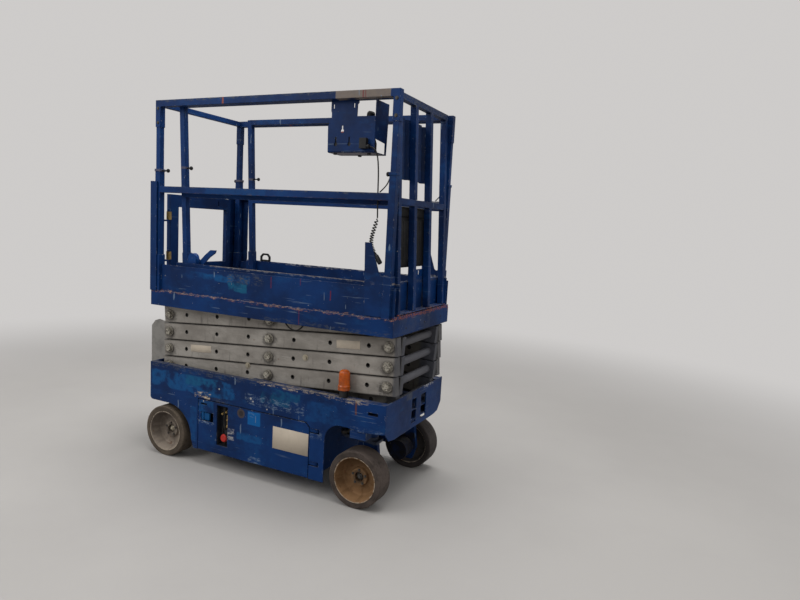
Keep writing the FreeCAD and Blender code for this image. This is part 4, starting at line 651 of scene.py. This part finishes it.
steelLooks = {  # tone, roughness, how metallic, how dirty
    "boltSteel": ((0.40, 0.36, 0.28), 0.36, 0.7, 0.5), "brassSteel": ((0.34, 0.23, 0.08), 0.36, 0.7, 0.5),
    "darkSteel": ((0.060, 0.055, 0.050), 0.5, 0.4, 0.6), "greyPaint": ((0.215, 0.205, 0.19), 0.5, 0.05, 0.35),
    "galvanised": ((0.30, 0.29, 0.28), 0.42, 0.5, 0.4), "rodChrome": ((0.55, 0.55, 0.55), 0.16, 1.0, 0.12),
    "palePaint": ((0.24, 0.215, 0.215), 0.5, 0.0, 0.25),
}
plasticLooks = {  # tone, roughness, how dusty, bump
    "blackPlastic": ((0.0075, 0.0072, 0.0075), 0.5), "boxPlastic": ((0.0052, 0.0052, 0.0055), 0.55, 0.2, 0.4),
    "nichePlate": ((0.0065, 0.0085, 0.014), 0.6, 0.5), "redPlastic": ((0.40, 0.018, 0.012), 0.36, 0.3),
    "batteryCase": ((0.012, 0.012, 0.014), 0.5, 0.6), "batteryLid": ((0.045, 0.045, 0.05), 0.5, 0.5),
    "labelCream": ((0.46, 0.395, 0.315), 0.5, 0.55),
}
everyFinish.update({name: steel(name, *look) for name, look in steelLooks.items()})
everyFinish.update({name: plastic(name, *look) for name, look in plasticLooks.items()})
everyFinish["amberLens"] = amberLens("amberLens")
everyFinish["checkerPlate"] = checkerPlate("checkerPlate")
everyFinish["cordRubber"] = cordRubber
print("plain finishes made")

dressed = {
    "chassisPaint": ("chassis_frame",), "greyPaint": ("entry_ladder", "lift_barrel"),
    "darkSteel": ("rear_axle", "tie_rod", "hydraulic_unit"), "yokePaint": ("near_yoke", "far_yoke"),
    "trayPaint": ("near_tray", "far_tray"), "batteryCase": ("battery_pack",),
    "nichePlate": ("ground_controls",), "redPlastic": ("ground_stop_button",),
    "amberLens": ("beacon_lens",), "rodChrome": ("lift_rod",),
    "deckPaint": ("platform_deck", "extension_deck"), "gatePaint": ("gate_posts", "entry_gate"),
    "railPaint": ("near_guardrail", "far_guardrail", "extension_rails", "control_bracket"),
    "panelPaint": ("front_panel",), "boxPlastic": ("storage_box",), "leverPaint": ("deck_lock_lever",),
    "blackPlastic": ("beacon_base", "grab_loop", "control_box", "joystick", "cable_connector", "cable_plug"),
    "outerArmPaint": ["outer_arms_%d" % row for row in range(1, 5)],
    "innerArmPaint": ["inner_arms_%d" % row for row in range(1, 5)],
}
for finish, names in dressed.items():
    nodeFinish.update({node: finish for node in names})
for node, finish in nodeFinish.items():
    slots = nodes[node].material_slots
    for slot in slots:
        slot.material = everyFinish[finish]
    if not slots:
        nodes[node].data.materials.append(everyFinish[finish])
print("nodes dressed,", len(nodes) - len(nodeFinish), "left to the cords")


# Mesh helpers: every piece is built in place, so its object stays at the origin
def finishMesh(data, name, body, finish, stands=()):
    if finish:
        data.materials.append(everyFinish[finish])
    for face in data.polygons:
        face.use_smooth = True
    data.set_sharp_from_angle(angle=math.radians(32))
    piece = bpy.data.objects.new(name, data)
    bpy.context.collection.objects.link(piece)
    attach(piece, body)
    if stands:
        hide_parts(*stands)
    return piece


def meshPiece(name, build, body, finish, stands=()):
    shape = bmesh.new()
    build(shape)
    bmesh.ops.recalc_face_normals(shape, faces=shape.faces)
    data = bpy.data.meshes.new(name)
    shape.to_mesh(data)
    shape.free()
    return finishMesh(data, name, body, finish, stands)


def addBlock(shape, low, high, soft=0.002, turn=None):
    middle = [(a + b) / 2 for a, b in zip(low, high)]
    spread = [b - a for a, b in zip(low, high)]
    place = Matrix.Translation(middle) @ (turn or Matrix()) @ Matrix.Diagonal((*spread, 1))
    made = bmesh.ops.create_cube(shape, size=1, matrix=place)
    edges = {edge for vertex in made["verts"] for edge in vertex.link_edges}
    bmesh.ops.bevel(shape, geom=list(edges), offset=soft, segments=2, affect="EDGES", profile=0.5)


def joinRings(shape, below, above):
    sides = max(len(below), len(above))
    for index in range(sides):
        after = (index + 1) % sides
        corners = []
        for ring, step in ((below, index), (below, after), (above, after), (above, index)):
            corner = ring[step % len(ring)]
            if corner not in corners:
                corners.append(corner)
        if len(corners) > 2:
            shape.faces.new(corners)


def addLathe(shape, centre, along, profile, sides=24, flutes=0, depth=0.0):
    along = Vector(along).normalized()
    first = along.orthogonal().normalized()
    second = along.cross(first)
    rings = []
    for radius, height in profile:
        spot = Vector(centre) + along * height
        ring = []
        for step in range(sides if radius > 1e-6 else 1):
            angle = 2 * math.pi * step / sides
            reach = radius * (1 - depth * (0.5 - 0.5 * math.cos(flutes * angle)))
            ring.append(shape.verts.new(spot + roundabout(first, second, angle) * reach))
        rings.append(ring)
    for below, above in zip(rings, rings[1:]):
        joinRings(shape, below, above)


def addPipe(shape, points, radius, sides=12):
    points = [Vector(point) for point in points]
    rings = []
    first = None
    for index, point in enumerate(points):
        heading = (points[min(index + 1, len(points) - 1)] - points[max(index - 1, 0)]).normalized()
        first = heading.orthogonal() if first is None else first - heading * first.dot(heading)
        first.normalize()
        second = heading.cross(first)
        ring = []
        for step in range(sides):
            outward = roundabout(first, second, 2 * math.pi * step / sides)
            ring.append(shape.verts.new(point + outward * radius))
        rings.append(ring)
    caps = [shape.verts.new(points[0]), shape.verts.new(points[-1])]
    for below, above in zip([[caps[0]]] + rings, rings + [[caps[1]]]):
        joinRings(shape, below, above)


def bend(points, steps=6):  # rounds a short list of corners for a stiff hose
    made = [Vector(points[0])]
    for before, corner, after in zip(points, points[1:], points[2:]):
        start = Vector(before).lerp(Vector(corner), 0.5)
        end = Vector(corner).lerp(Vector(after), 0.5)
        for step in range(steps + 1):
            share = step / steps
            made.append(start.lerp(Vector(corner), share).lerp(Vector(corner).lerp(end, share), share))
    return made + [Vector(points[-1])]


# Geometry Nodes: each tree grows one kind of repeated thing on the points that it is given
def newTree(name, sizes):
    tree = bpy.data.node_groups.new(name, "GeometryNodeTree")
    tree.interface.new_socket("Places", in_out="INPUT", socket_type="NodeSocketGeometry")
    for label, value in sizes.items():
        socket = tree.interface.new_socket(label, in_out="INPUT", socket_type="NodeSocketFloat")
        socket.default_value = value
    tree.interface.new_socket("Finish", in_out="INPUT", socket_type="NodeSocketMaterial")
    tree.interface.new_socket("Result", in_out="OUTPUT", socket_type="NodeSocketGeometry")
    given = tree.nodes.new("NodeGroupInput")
    return tree, {socket.name: Signal(tree, socket) for socket in given.outputs if socket.name}


def endTree(tree, given, thing, turned, values=None):  # the thing on every place, as solid geometry
    values = {"Points": given["Places"], "Instance": thing, "Rotation": turned, **(values or {})}
    grown = thing.node("GeometryNodeInstanceOnPoints", None, values)
    solid = grown.node("GeometryNodeRealizeInstances", None, {0: grown})
    dressed = solid.node("GeometryNodeSetMaterial", None, {"Geometry": solid, "Material": given["Finish"]})
    result = tree.nodes.new("NodeGroupOutput")
    tree.links.new(dressed.socket, result.inputs[0])
    return tree


def lifted(signal, height):
    shift = signal.node("ShaderNodeCombineXYZ", None, {2: height})
    return signal.node("GeometryNodeTransform", None, {"Geometry": signal, "Translation": shift})


def facing(signal):
    named = signal.node("GeometryNodeInputNamedAttribute", {"data_type": "FLOAT_VECTOR"}, {"Name": "facing"})
    return signal.node("FunctionNodeAlignRotationToVector", {"axis": "Z"}, {"Vector": named})


def boltTree():  # a hexagon head on a washer
    tree, given = newTree("boltTree", {"Head Width": 0.013, "Head Height": 0.008, "Washer": 1.35})
    wide, tall = given["Head Width"] * 0.577, given["Head Height"]
    layers = [(16, wide * given["Washer"], tall * 0.25, 0.125), (6, wide, tall, 0.5),
              (12, wide * 0.78, tall, 0.58)]
    parts = []
    for sides, radius, depth, rise in layers:
        values = {"Vertices": sides, "Radius": radius, "Depth": depth}
        parts.append(lifted(wide.node("GeometryNodeMeshCylinder", None, values), tall * rise))
    bolt = wide.node("GeometryNodeJoinGeometry", None, {0: parts})
    return endTree(tree, given, bolt, facing(bolt))


def rivetTree():  # a low round head
    tree, given = newTree("rivetTree", {"Radius": 0.004, "Height": 0.4})
    values = {"Segments": 12, "Rings": 6, "Radius": given["Radius"]}
    dome = given["Radius"].node("GeometryNodeMeshUVSphere", None, values)
    flat = dome.node("ShaderNodeCombineXYZ", None, {0: 1.0, 1: 1.0, 2: given["Height"]})
    return endTree(tree, given, dome, facing(dome), {"Scale": flat})


def treadTree():  # raised lozenges, turned in pairs
    tree, given = newTree("treadTree", {"Length": 0.026, "Width": 0.007, "Height": 0.0012})
    values = {"Vertices": 8, "Radius": 0.5, "Depth": 1.0}
    bar = given["Length"].node("GeometryNodeMeshCylinder", None, values)
    values = {0: given["Length"], 1: given["Width"], 2: given["Height"]}
    spread = bar.node("ShaderNodeCombineXYZ", None, values)
    turned = bar.node("GeometryNodeInputIndex").maths("MODULO", 2.0) * (math.pi / 2) - math.pi / 4
    angles = bar.node("ShaderNodeCombineXYZ", None, {2: turned})
    return endTree(tree, given, bar, angles, {"Scale": spread})


trees = {"bolt": boltTree(), "rivet": rivetTree(), "tread": treadTree()}


def growPiece(name, kind, places, sizes, body, finish):
    data = bpy.data.meshes.new(name + "Places")
    data.from_pydata([spot for spot, toward in places], [], [])
    aims = data.attributes.new("facing", "FLOAT_VECTOR", "POINT")
    for aim, (spot, toward) in zip(aims.data, places):
        aim.vector = toward
    holder = bpy.data.objects.new(name + "Places", data)
    bpy.context.collection.objects.link(holder)
    modifier = holder.modifiers.new("grow", "NODES")
    modifier.node_group = trees[kind]
    given = {**sizes, "Finish": everyFinish[finish]}
    for socket in trees[kind].interface.items_tree:
        if socket.in_out == "INPUT" and socket.name in given:
            modifier[socket.identifier] = given[socket.name]
    bpy.context.view_layer.update()
    grown = bpy.data.meshes.new_from_object(holder.evaluated_get(bpy.context.evaluated_depsgraph_get()))
    bpy.data.objects.remove(holder)
    grown.name = name
    return finishMesh(grown, name, body, None)


near, far, up, down, front, rear = (0, -1, 0), (0, 1, 0), (0, 0, 1), (0, 0, -1), (1, 0, 0), (-1, 0, 0)

# Blank labels: thin plates with a soft edge, one on the near tray and two that lean with the arms
labels = {
    "trayLabel": ("near_tray", (0.219, -0.3704, 0.211), (0.452, -0.3698, 0.335), 0),
    "armLabel0": ("outer_2", (-0.452, -0.3006, 0.652), (-0.295, -0.2999, 0.694), stack["tilt"]),
    "armLabel1": ("outer_3", (0.559, -0.3006, 0.812), (0.700, -0.2999, 0.855), stack["tilt"]),
}
for name, (body, low, high, tilt) in labels.items():
    lean = Matrix.Rotation(-tilt, 4, "Y")
    meshPiece(name, lambda shape: addBlock(shape, low, high, 0.0002, lean), body, "labelCream")
print("labels made")

# Wheel hubs: a ring of bolts, a dished washer and a castle nut on the spindle's end
hub = {"bolts": 5, "ring": 0.038, "face": 0.3282, "head": {"Head Width": 0.0095, "Head Height": 0.005},
       "nut": ((0.3055, 28, [(0, 0), (0.0228, 0), (0.0228, 0.003), (0.019, 0.0045), (0, 0.0045)]),
               (0.3100, 6, [(0, 0), (0.0165, 0), (0.0165, 0.008), (0.0145, 0.010), (0, 0.010)]),
               (0.3200, 16, [(0, 0), (0.0085, 0), (0.0085, 0.005), (0.0070, 0.0065), (0, 0.0065)]))}


def hubNut(shape, x, toward):
    for face, sides, profile in hub["nut"]:
        addLathe(shape, (x, toward[1] * face, wheel["radius"]), toward, profile, sides)


for end, x in axles.items():
    for side, toward in (("near_", near), ("far_", far)):
        name, body = side + end, side + end + "_wheel"
        spots = []
        for step in range(hub["bolts"]):
            angle = 2 * math.pi * (step + 0.25) / hub["bolts"]
            across, high = hub["ring"] * math.cos(angle), hub["ring"] * math.sin(angle)
            spots.append(((x + across, toward[1] * hub["face"], wheel["radius"] + high), toward))
        growPiece(name + "Bolts", "bolt", spots, hub["head"], body, "darkSteel")
        finish = "boltSteel" if end == "rear" else "darkSteel"
        meshPiece(name + "HubNut", lambda shape: hubNut(shape, x, toward), body, finish)
print("hubs made")

# Lidded battery blocks in the far tray, four in a row, with caps and posts
battery = {"count": 4, "gap": 0.006, "lid": 0.035, "drop": 0.018, "ribs": 5, "caps": 3, "posts": (0.12, 0.88)}
low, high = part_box("battery_pack")
step = (high[0] - low[0]) / battery["count"]
starts = [low[0] + step * number for number in range(battery["count"])]
top = high[2] - battery["drop"]


def batteryBlocks(shape):
    for start in starts:
        addBlock(shape, (start + battery["gap"] / 2, low[1], low[2]),
                 (start + step - battery["gap"] / 2, high[1], top - battery["lid"]), 0.006)
        for rib in range(battery["ribs"]):
            along = start + step * (rib + 1) / (battery["ribs"] + 1)
            addBlock(shape, (along - 0.004, low[1] + 0.001, low[2] + 0.03),
                     (along + 0.004, high[1] - 0.001, high[2] - 0.075), 0.0012)


def batteryLids(shape):
    for start in starts:
        addBlock(shape, (start + 0.001, low[1] + 0.001, top - battery["lid"]),
                 (start + step - 0.001, high[1] - 0.001, top), 0.004)
        for cap in range(battery["caps"]):
            spot = (start + step / 2, low[1] + (high[1] - low[1]) * (0.28 + 0.22 * cap), top - 0.001)
            addLathe(shape, spot, up, [(0, 0), (0.015, 0), (0.015, 0.008), (0.012, 0.010), (0, 0.010)],
                     20, 20, 0.06)


def batteryPosts(shape):
    for start in starts:
        for share in battery["posts"]:
            spot = (start + step / 2, low[1] + (high[1] - low[1]) * share, top - 0.001)
            addLathe(shape, spot, up, [(0, 0), (0.010, 0), (0.008, 0.014), (0.006, 0.0185), (0, 0.0185)], 14)


meshPiece("batteryBlocks", batteryBlocks, "far_tray", "batteryCase", ("battery_pack",))
meshPiece("batteryLids", batteryLids, "far_tray", "batteryLid", ("battery_pack",))
meshPiece("batteryPosts", batteryPosts, "far_tray", "boltSteel")
print("batteries made")

# Beacon dome, fluted like a lens, on its collar
lens = {"foot": 0.0325, "glass": 0.0288, "flutes": 30, "depth": 0.035, "rings": 9}
low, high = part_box("beacon_lens")
beaconFoot = ((low[0] + high[0]) / 2, (low[1] + high[1]) / 2, low[2])


def beaconDome(shape):
    foot, glass = lens["foot"], lens["glass"]
    collar = [(0, 0), (foot, 0), (foot, 0.004), (foot - 0.001, 0.006), (foot - 0.001, 0.018), (foot, 0.020),
              (foot - 0.001, 0.022), (glass, 0.027), (glass - 0.004, 0.027)]
    addLathe(shape, beaconFoot, up, collar, 60)
    dome = [(0, 0.026), (glass, 0.026), (glass, 0.032)]
    for ring in range(1, lens["rings"] + 1):
        dome.append((glass - 0.0006 * (ring % 2), 0.032 + ring * 0.0058))
    dome += [(glass * 0.965, 0.0895), (glass * 0.86, 0.0965), (glass * 0.66, 0.1020), (glass * 0.36, 0.1050),
             (0, 0.1058)]
    addLathe(shape, beaconFoot, up, dome, 120, lens["flutes"], lens["depth"])


meshPiece("beaconDome", beaconDome, "chassis", "amberLens", ("beacon_lens",))
print("beacon made")

# Joystick: a ribbed boot, a stem and a shaped grip with its trigger
low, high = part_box("joystick")
stick = Vector(((low[0] + high[0]) / 2, (low[1] + high[1]) / 2, low[2]))
joystick = {
    "folds": 5, "stemFoot": (0, 0, 0.040), "gripFoot": (-0.006, 0, 0.056), "lean": (0.24, 0, 1),
    "stem": [(0, 0), (0.0085, 0), (0.0095, 0.012), (0.0150, 0.022), (0, 0.024)],
    "grip": [(0, 0), (0.0150, 0), (0.0185, 0.008), (0.0200, 0.022), (0.0190, 0.036), (0.0205, 0.048),
             (0.0200, 0.058), (0.0140, 0.066), (0, 0.068)],
    "trigger": ((0.008, -0.006, 0.070), (0.026, 0.006, 0.094)),
}


def joystickShape(shape):
    boot = [(0, 0), (0.0295, 0), (0.0295, 0.004)]
    for fold in range(joystick["folds"]):
        reach = 0.0275 - fold * 0.0032
        boot += [(reach, 0.005 + fold * 0.007), (reach - 0.0045, 0.0085 + fold * 0.007)]
    addLathe(shape, stick, up, boot + [(0.009, 0.042), (0, 0.042)], 32)
    addLathe(shape, stick + Vector(joystick["stemFoot"]), up, joystick["stem"], 28)
    addLathe(shape, stick + Vector(joystick["gripFoot"]), joystick["lean"], joystick["grip"], 30)
    addBlock(shape, *(stick + Vector(corner) for corner in joystick["trigger"]), 0.004)


meshPiece("joystickGrip", joystickShape, "platform", "blackPlastic", ("joystick",))
print("joystick made")

# Control box top: red stop knob, key and two toggles, and a dark plate with a screw at each corner
boxTop = {
    "face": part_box("control_box")[1][2], "plate": ((0.500, -0.318), (0.640, -0.240), 0.0012),
    "knob": ((0.533, -0.270), [(0, 0), (0.012, 0), (0.012, 0.010), (0.019, 0.013), (0.020, 0.019),
                               (0.016, 0.024), (0, 0.0255)]),
    "toggles": ((0.585, -0.248), (0.612, -0.248)), "key": (0.598, -0.292),
    "toggle": [(0, 0), (0.0085, 0), (0.0085, 0.003), (0.0045, 0.004), (0.0032, 0.018), (0.0022, 0.020),
               (0, 0.020)],
    "keyhole": [(0, 0), (0.009, 0), (0.009, 0.005), (0.006, 0.006), (0, 0.006)],
    "screws": [(x, y) for x in (0.507, 0.633) for y in (-0.312, -0.246)], "screw": {"Radius": 0.0032},
}


def boxKnob(shape):
    spot, profile = boxTop["knob"]
    addLathe(shape, (*spot, boxTop["face"]), up, profile, 26)


def boxSwitches(shape):
    for spot in boxTop["toggles"]:
        addLathe(shape, (*spot, boxTop["face"]), up, boxTop["toggle"], 16)
    addLathe(shape, (*boxTop["key"], boxTop["face"]), up, boxTop["keyhole"], 18)


def boxPlate(shape):
    low, high, thick = boxTop["plate"]
    addBlock(shape, (*low, boxTop["face"]), (*high, boxTop["face"] + thick), 0.0005)


meshPiece("boxStopKnob", boxKnob, "platform", "redPlastic")
meshPiece("boxSwitches", boxSwitches, "platform", "galvanised")
meshPiece("boxPlate", boxPlate, "platform", "darkSteel")
screws = [((*spot, boxTop["face"] + 0.001), up) for spot in boxTop["screws"]]
growPiece("boxScrews", "rivet", screws, boxTop["screw"], "platform", "boltSteel")
print("control box made")

# Moulded storage box: a ribbed body under a lid, leaning with the rails
storage = {"back": 0.7905, "front": 0.8755, "sides": (-0.214, 0.170), "low": 1.248, "high": 1.562,
           "lid": 0.055, "foot": (0.892, 0, 1.023), "lean": 2.6, "inset": 0.004, "ribs": 7}


def storageShape(shape):
    back, face, inset = storage["back"], storage["front"], storage["inset"]
    first, last = storage["sides"]
    seam = storage["high"] - storage["lid"]
    addBlock(shape, (back + inset, first + inset, storage["low"]),
             (face - inset, last - inset, seam + 0.004), 0.020)
    addBlock(shape, (back, first, seam), (face, last, storage["high"]), 0.012)
    addBlock(shape, (back + 0.010, first + 0.012, seam - 0.008),
             (face - 0.010, last - 0.012, seam + 0.002), 0.002)
    for number in range(storage["ribs"]):
        y = first + (last - first) * (number + 0.75) / (storage["ribs"] + 0.5)
        for x in (back + 0.001, face - 0.006):
            addBlock(shape, (x, y - 0.007, storage["low"] + 0.030),
                     (x + 0.005, y + 0.007, seam - 0.020), 0.0016)
    for y in (first + 0.09, last - 0.09):  # latches over the lid's seam
        addBlock(shape, (back - 0.0015, y - 0.018, seam - 0.022),
                 (back + 0.006, y + 0.018, seam + 0.026), 0.002)
    foot = Matrix.Translation(Vector(storage["foot"]))
    lean = Matrix.Rotation(math.radians(-storage["lean"]), 4, "Y")
    bmesh.ops.transform(shape, matrix=foot @ lean @ foot.inverted(), verts=shape.verts)


meshPiece("storageCase", storageShape, "extension", "boxPlastic", ("storage_box",))
print("storage box made")

# Pale underside of the bracket's tray, with rubber feet
underside = {"low": (0.480, -0.322, 1.8072), "high": (0.735, -0.205, 1.8079),
             "feet": ((0.505, -0.305), (0.700, -0.305), (0.600, -0.220)),
             "foot": [(0, 0), (0.010, 0), (0.009, 0.007), (0, 0.008)]}


def undersidePlate(shape):
    addBlock(shape, underside["low"], underside["high"], 0.0003)


def rubberFeet(shape):
    for spot in underside["feet"]:
        addLathe(shape, (*spot, underside["low"][2]), down, underside["foot"], 20)


meshPiece("bracketUnderside", undersidePlate, "platform", "palePaint")
meshPiece("bracketFeet", rubberFeet, "platform", "boxPlastic")
print("bracket's underside made")

# Tread lozenges on the extension's floor
tread = {"start": (-0.425, -0.256), "end": (0.818, 0.256), "pitch": 0.030, "top": 1.0252,
         "bar": {"Length": 0.021, "Width": 0.0055, "Height": 0.0016}}
rows, columns = (int((tread["end"][axis] - tread["start"][axis]) / tread["pitch"]) for axis in (1, 0))


def treadSpot(column, row):
    x, y = tread["start"]
    return (x + column * tread["pitch"], y + row * tread["pitch"], tread["top"]), up


spots = []
for row in range(rows + 1):
    for column in range(columns + 1):
        spots.append(treadSpot(column, row))
        if (row + column) % 2 == len(spots) % 2:
            spots.append(treadSpot(column + 0.5, row + 0.5))
growPiece("floorTread", "tread", spots, tread["bar"], "extension", "checkerPlate")
print("tread made")

# Hydraulic tank, pump motor and valve block in the near tray, standing for their plain solid
tank = {"motorRadius": 0.052, "cap": 0.020, "tankEnds": 0.58, "motorFrom": 0.60, "caps": 3,
        "capProfile": [(0, 0), (0.012, 0), (0.012, 0.006), (0.009, 0.008), (0.009, 0.030),
                       (0.006, 0.033), (0, 0.033)]}
low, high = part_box("hydraulic_unit")
middleY = (low[1] + high[1]) / 2
tankEnd, motorStart = (low[0] + (high[0] - low[0]) * tank[share] for share in ("tankEnds", "motorFrom"))


def tankShape(shape):
    addBlock(shape, low, (tankEnd, high[1], high[2] - 0.018), 0.012)
    addBlock(shape, (low[0] + 0.004, low[1] + 0.004, high[2] - 0.02),
             (tankEnd - 0.004, high[1] - 0.004, high[2] - 0.014), 0.002)
    for side in (0.3, 0.7):
        y = low[1] + (high[1] - low[1]) * side
        addBlock(shape, (low[0] + 0.02, y - 0.012, low[2] + 0.001),
                 (tankEnd - 0.02, y + 0.012, low[2] + 0.012), 0.002)
    cap = tank["cap"]
    addLathe(shape, (low[0] + 0.06, middleY, high[2] - 0.016), up, [
        (0, 0), (cap, 0), (cap, 0.012), (cap - 0.004, 0.016), (0, 0.016)], 24, 24, 0.08)


def pumpMotor(shape):
    reach = tank["motorRadius"]
    addLathe(shape, (motorStart, middleY, low[2] + 0.075), front, [
        (0, 0), (reach, 0), (reach, 0.008), (reach - 0.003, 0.010), (reach - 0.003, 0.120), (reach, 0.122),
        (reach, 0.132), (0.03, 0.138), (0, 0.138)], 36)
    addBlock(shape, (motorStart, middleY - 0.03, low[2]),
             (motorStart + 0.13, middleY + 0.03, low[2] + 0.03), 0.003)
    addBlock(shape, (motorStart + 0.012, low[1] + 0.012, high[2] - 0.100),
             (high[0] - 0.004, high[1] - 0.030, high[2] - 0.035), 0.004)


def valveCaps(shape):
    for number in range(tank["caps"]):
        x = motorStart + 0.035 + number * 0.036
        addLathe(shape, (x, middleY, high[2] - 0.036), up, tank["capProfile"], 18)


meshPiece("hydraulicTank", tankShape, "near_tray", "boxPlastic", ("hydraulic_unit",))
meshPiece("pumpMotor", pumpMotor, "near_tray", "darkSteel", ("hydraulic_unit",))
meshPiece("valveCaps", valveCaps, "near_tray", "brassSteel")
print("hydraulic unit made")

# Hoses and valves in the ground controls' niche, behind the stop button
niche = {"hose": 0.0045, "low": 0.150, "high": 0.372, "valveFace": -0.332,
         "hoses": ((-0.148, -0.344), (-0.133, -0.350), (-0.110, -0.352), (-0.101, -0.343)),
         "valves": ((-0.112, 0.262, 0.012), (-0.112, 0.300, 0.010), (-0.150, 0.330, 0.010),
                    (-0.122, 0.345, 0.009)),
         "block": ((-0.128, -0.345, 0.240), (-0.098, -0.328, 0.325))}


def nicheHoses(shape):
    for number, (x, y) in enumerate(niche["hoses"]):
        sway = 0.008 * (1 if number % 2 else -1)
        route = [(x, y, niche["low"]), (x + sway, y, 0.22), (x - sway, y - 0.003, 0.29),
                 (x, y, niche["high"])]
        addPipe(shape, bend(route), niche["hose"], 10)


def nicheValves(shape):
    for x, z, reach in niche["valves"]:
        addLathe(shape, (x, niche["valveFace"], z), near, [
            (0, 0), (reach, 0), (reach, 0.010), (reach * 0.7, 0.012), (reach * 0.7, 0.026),
            (reach * 0.5, 0.028), (0, 0.028)], 6)
    addBlock(shape, *niche["block"], 0.002)


meshPiece("nicheHoses", nicheHoses, "near_tray", "cordRubber")
meshPiece("nicheValves", nicheValves, "near_tray", "brassSteel")

# Latch insert in the tray's recess: a handle plate over a dark pocket
latchBlocks = (((-0.302, -0.3655, 0.271), (-0.282, -0.345, 0.334), 0.003),
               ((-0.302, -0.3600, 0.271), (-0.244, -0.345, 0.318), 0.004))


def latchInsert(shape):
    for block in latchBlocks:
        addBlock(shape, *block)


meshPiece("latchInsert", latchInsert, "near_tray", "latchPaint")

# Lock pins at the sliding collars and posts: body, place, way out and length of each stem, with a knob
pins = (("platform", (-0.6442, -0.347, 1.703), front, 0.036),
        ("platform", (-0.6858, 0.347, 1.703), rear, 0.004),
        ("extension", (-0.5030, -0.2977, 1.724), front, 0.024),
        ("extension", (-0.5030, 0.2977, 1.715), front, 0.034),
        ("platform", (0.8472, 0.347, 1.703), rear, 0.012),
        ("platform", (0.8472, -0.347, 1.703), rear, 0.006))


def lockPin(shape, spot, toward, stem):
    knob = [(0.0095, 0.002), (0.0115, 0.007), (0.0105, 0.012), (0.006, 0.015), (0, 0.015)]
    profile = [(0, 0), (0.0042, 0), (0.0042, stem)] + [(radius, stem + height) for radius, height in knob]
    addLathe(shape, spot, toward, profile, 18)


for number, (body, spot, toward, stem) in enumerate(pins):
    meshPiece("lockPin%d" % number, lambda shape: lockPin(shape, spot, toward, stem), body, "boxPlastic")

# Two more bolts through the arms, as worn and pale as the pivot heads, and bolts through the corner sleeves
armBolt = {"Head Width": 0.020, "Head Height": 0.009, "Washer": 1.5}
for body, spot in (("outer_1", (-0.021, -0.3003, 0.626)), ("outer_2", (0.367, -0.3003, 0.727))):
    growPiece(body + "Bolt", "bolt", [(spot, near)], armBolt, body, "boltSteel")
sleeveBolt = {"Head Width": 0.012, "Head Height": 0.004}
sleeves = {"y": 0.3652, "xs": (-0.665, 0.868), "zs": (2.055, 1.975)}
spots = [((x, toward[1] * sleeves["y"], z), toward)
         for toward in (near, far) for x in sleeves["xs"] for z in sleeves["zs"]]
growPiece("sleeveBolts", "bolt", spots, sleeveBolt, "platform", "darkSteel")

# Sprung brass sleeves on the gate's hinges
hinges = {"x": -0.679, "y": -0.262, "levels": (1.421, 1.181), "tall": 0.048, "radius": 0.0154, "coils": 12}


def hingeSleeves(shape):
    profile = [(0, 0)]
    for ring in range(hinges["coils"] + 1):
        profile.append((hinges["radius"] - 0.0012 * (ring % 2), hinges["tall"] * ring / hinges["coils"]))
    for z in hinges["levels"]:
        addLathe(shape, (hinges["x"], hinges["y"], z), up, profile + [(0, hinges["tall"])], 24)


meshPiece("hingeSleeves", hingeSleeves, "gate", "brassSteel")
print("small fittings made")


# Studio: a floor that fades into the backdrop, an even sky and three lamps
studio = {"back": (0.615, 0.600, 0.590), "floorTone": (0.36, 0.345, 0.33), "floorSize": 60, "sky": 0.42,
          "fadeFrom": 2.2, "fadeTo": 6.0, "aim": (0, 0, 0.9)}
lamps = {"keyLamp": ((-2.6, -4.2, 4.2), 3.2, 150), "fillLamp": ((4.2, -1.5, 3.0), 3.0, 30),
         "topLamp": ((0.2, 0.4, 5.0), 4.0, 260)}


def setFloor():
    bpy.ops.mesh.primitive_plane_add(size=studio["floorSize"])
    floor = bpy.context.object
    floor.name = "studioFloor"
    material, shader, place = newFinish("studioFloor")
    cloud = place.grain(0.7, 5, 0.6)
    colour = cloud.ease(0.35, 0.65).tint(scaled(studio["floorTone"], 0.95), studio["floorTone"])
    finishWith(material, shader, colour, 0.85)
    tree = material.node_tree
    away = place.node("ShaderNodeVectorMath", {"operation": "LENGTH"}, {0: place}, 1)
    path = tree.nodes.new("ShaderNodeLightPath")
    seen = Signal(tree, path.outputs["Is Camera Ray"])
    fade = away.ease(studio["fadeFrom"], studio["fadeTo"]) * seen
    glow = place.node("ShaderNodeEmission", None, {"Color": (*studio["back"], 1), "Strength": 1.0})
    surface = Signal(tree, shader.outputs[0])
    mixed = place.node("ShaderNodeMixShader", None, {0: fade, 1: surface, 2: glow})
    tree.links.new(mixed.socket, tree.nodes["Material Output"].inputs["Surface"])
    floor.data.materials.append(material)


def setSky():
    world = bpy.data.worlds.new("studioSky")
    bpy.context.scene.world = world
    world.use_nodes = True
    tree = world.node_tree
    path = tree.nodes.new("ShaderNodeLightPath")
    seen = Signal(tree, path.outputs["Is Camera Ray"])
    for name in ("Is Glossy Ray", "Is Transmission Ray"):
        seen = seen.maths("MAXIMUM", Signal(tree, path.outputs[name]))
    tone = seen.tint((studio["sky"],) * 3, studio["back"])
    tree.links.new(tone.socket, tree.nodes["Background"].inputs["Color"])


def setLamps():
    for name, (spot, width, power) in lamps.items():
        data = bpy.data.lights.new(name, "AREA")
        data.size = width
        data.energy = power
        lamp = bpy.data.objects.new(name, data)
        bpy.context.collection.objects.link(lamp)
        aim = (Vector(studio["aim"]) - Vector(spot)).to_track_quat("-Z", "Y")
        lamp.matrix_world = Matrix.Translation(Vector(spot)) @ aim.to_matrix().to_4x4()


setFloor()
setSky()
setLamps()
print("studio ready")
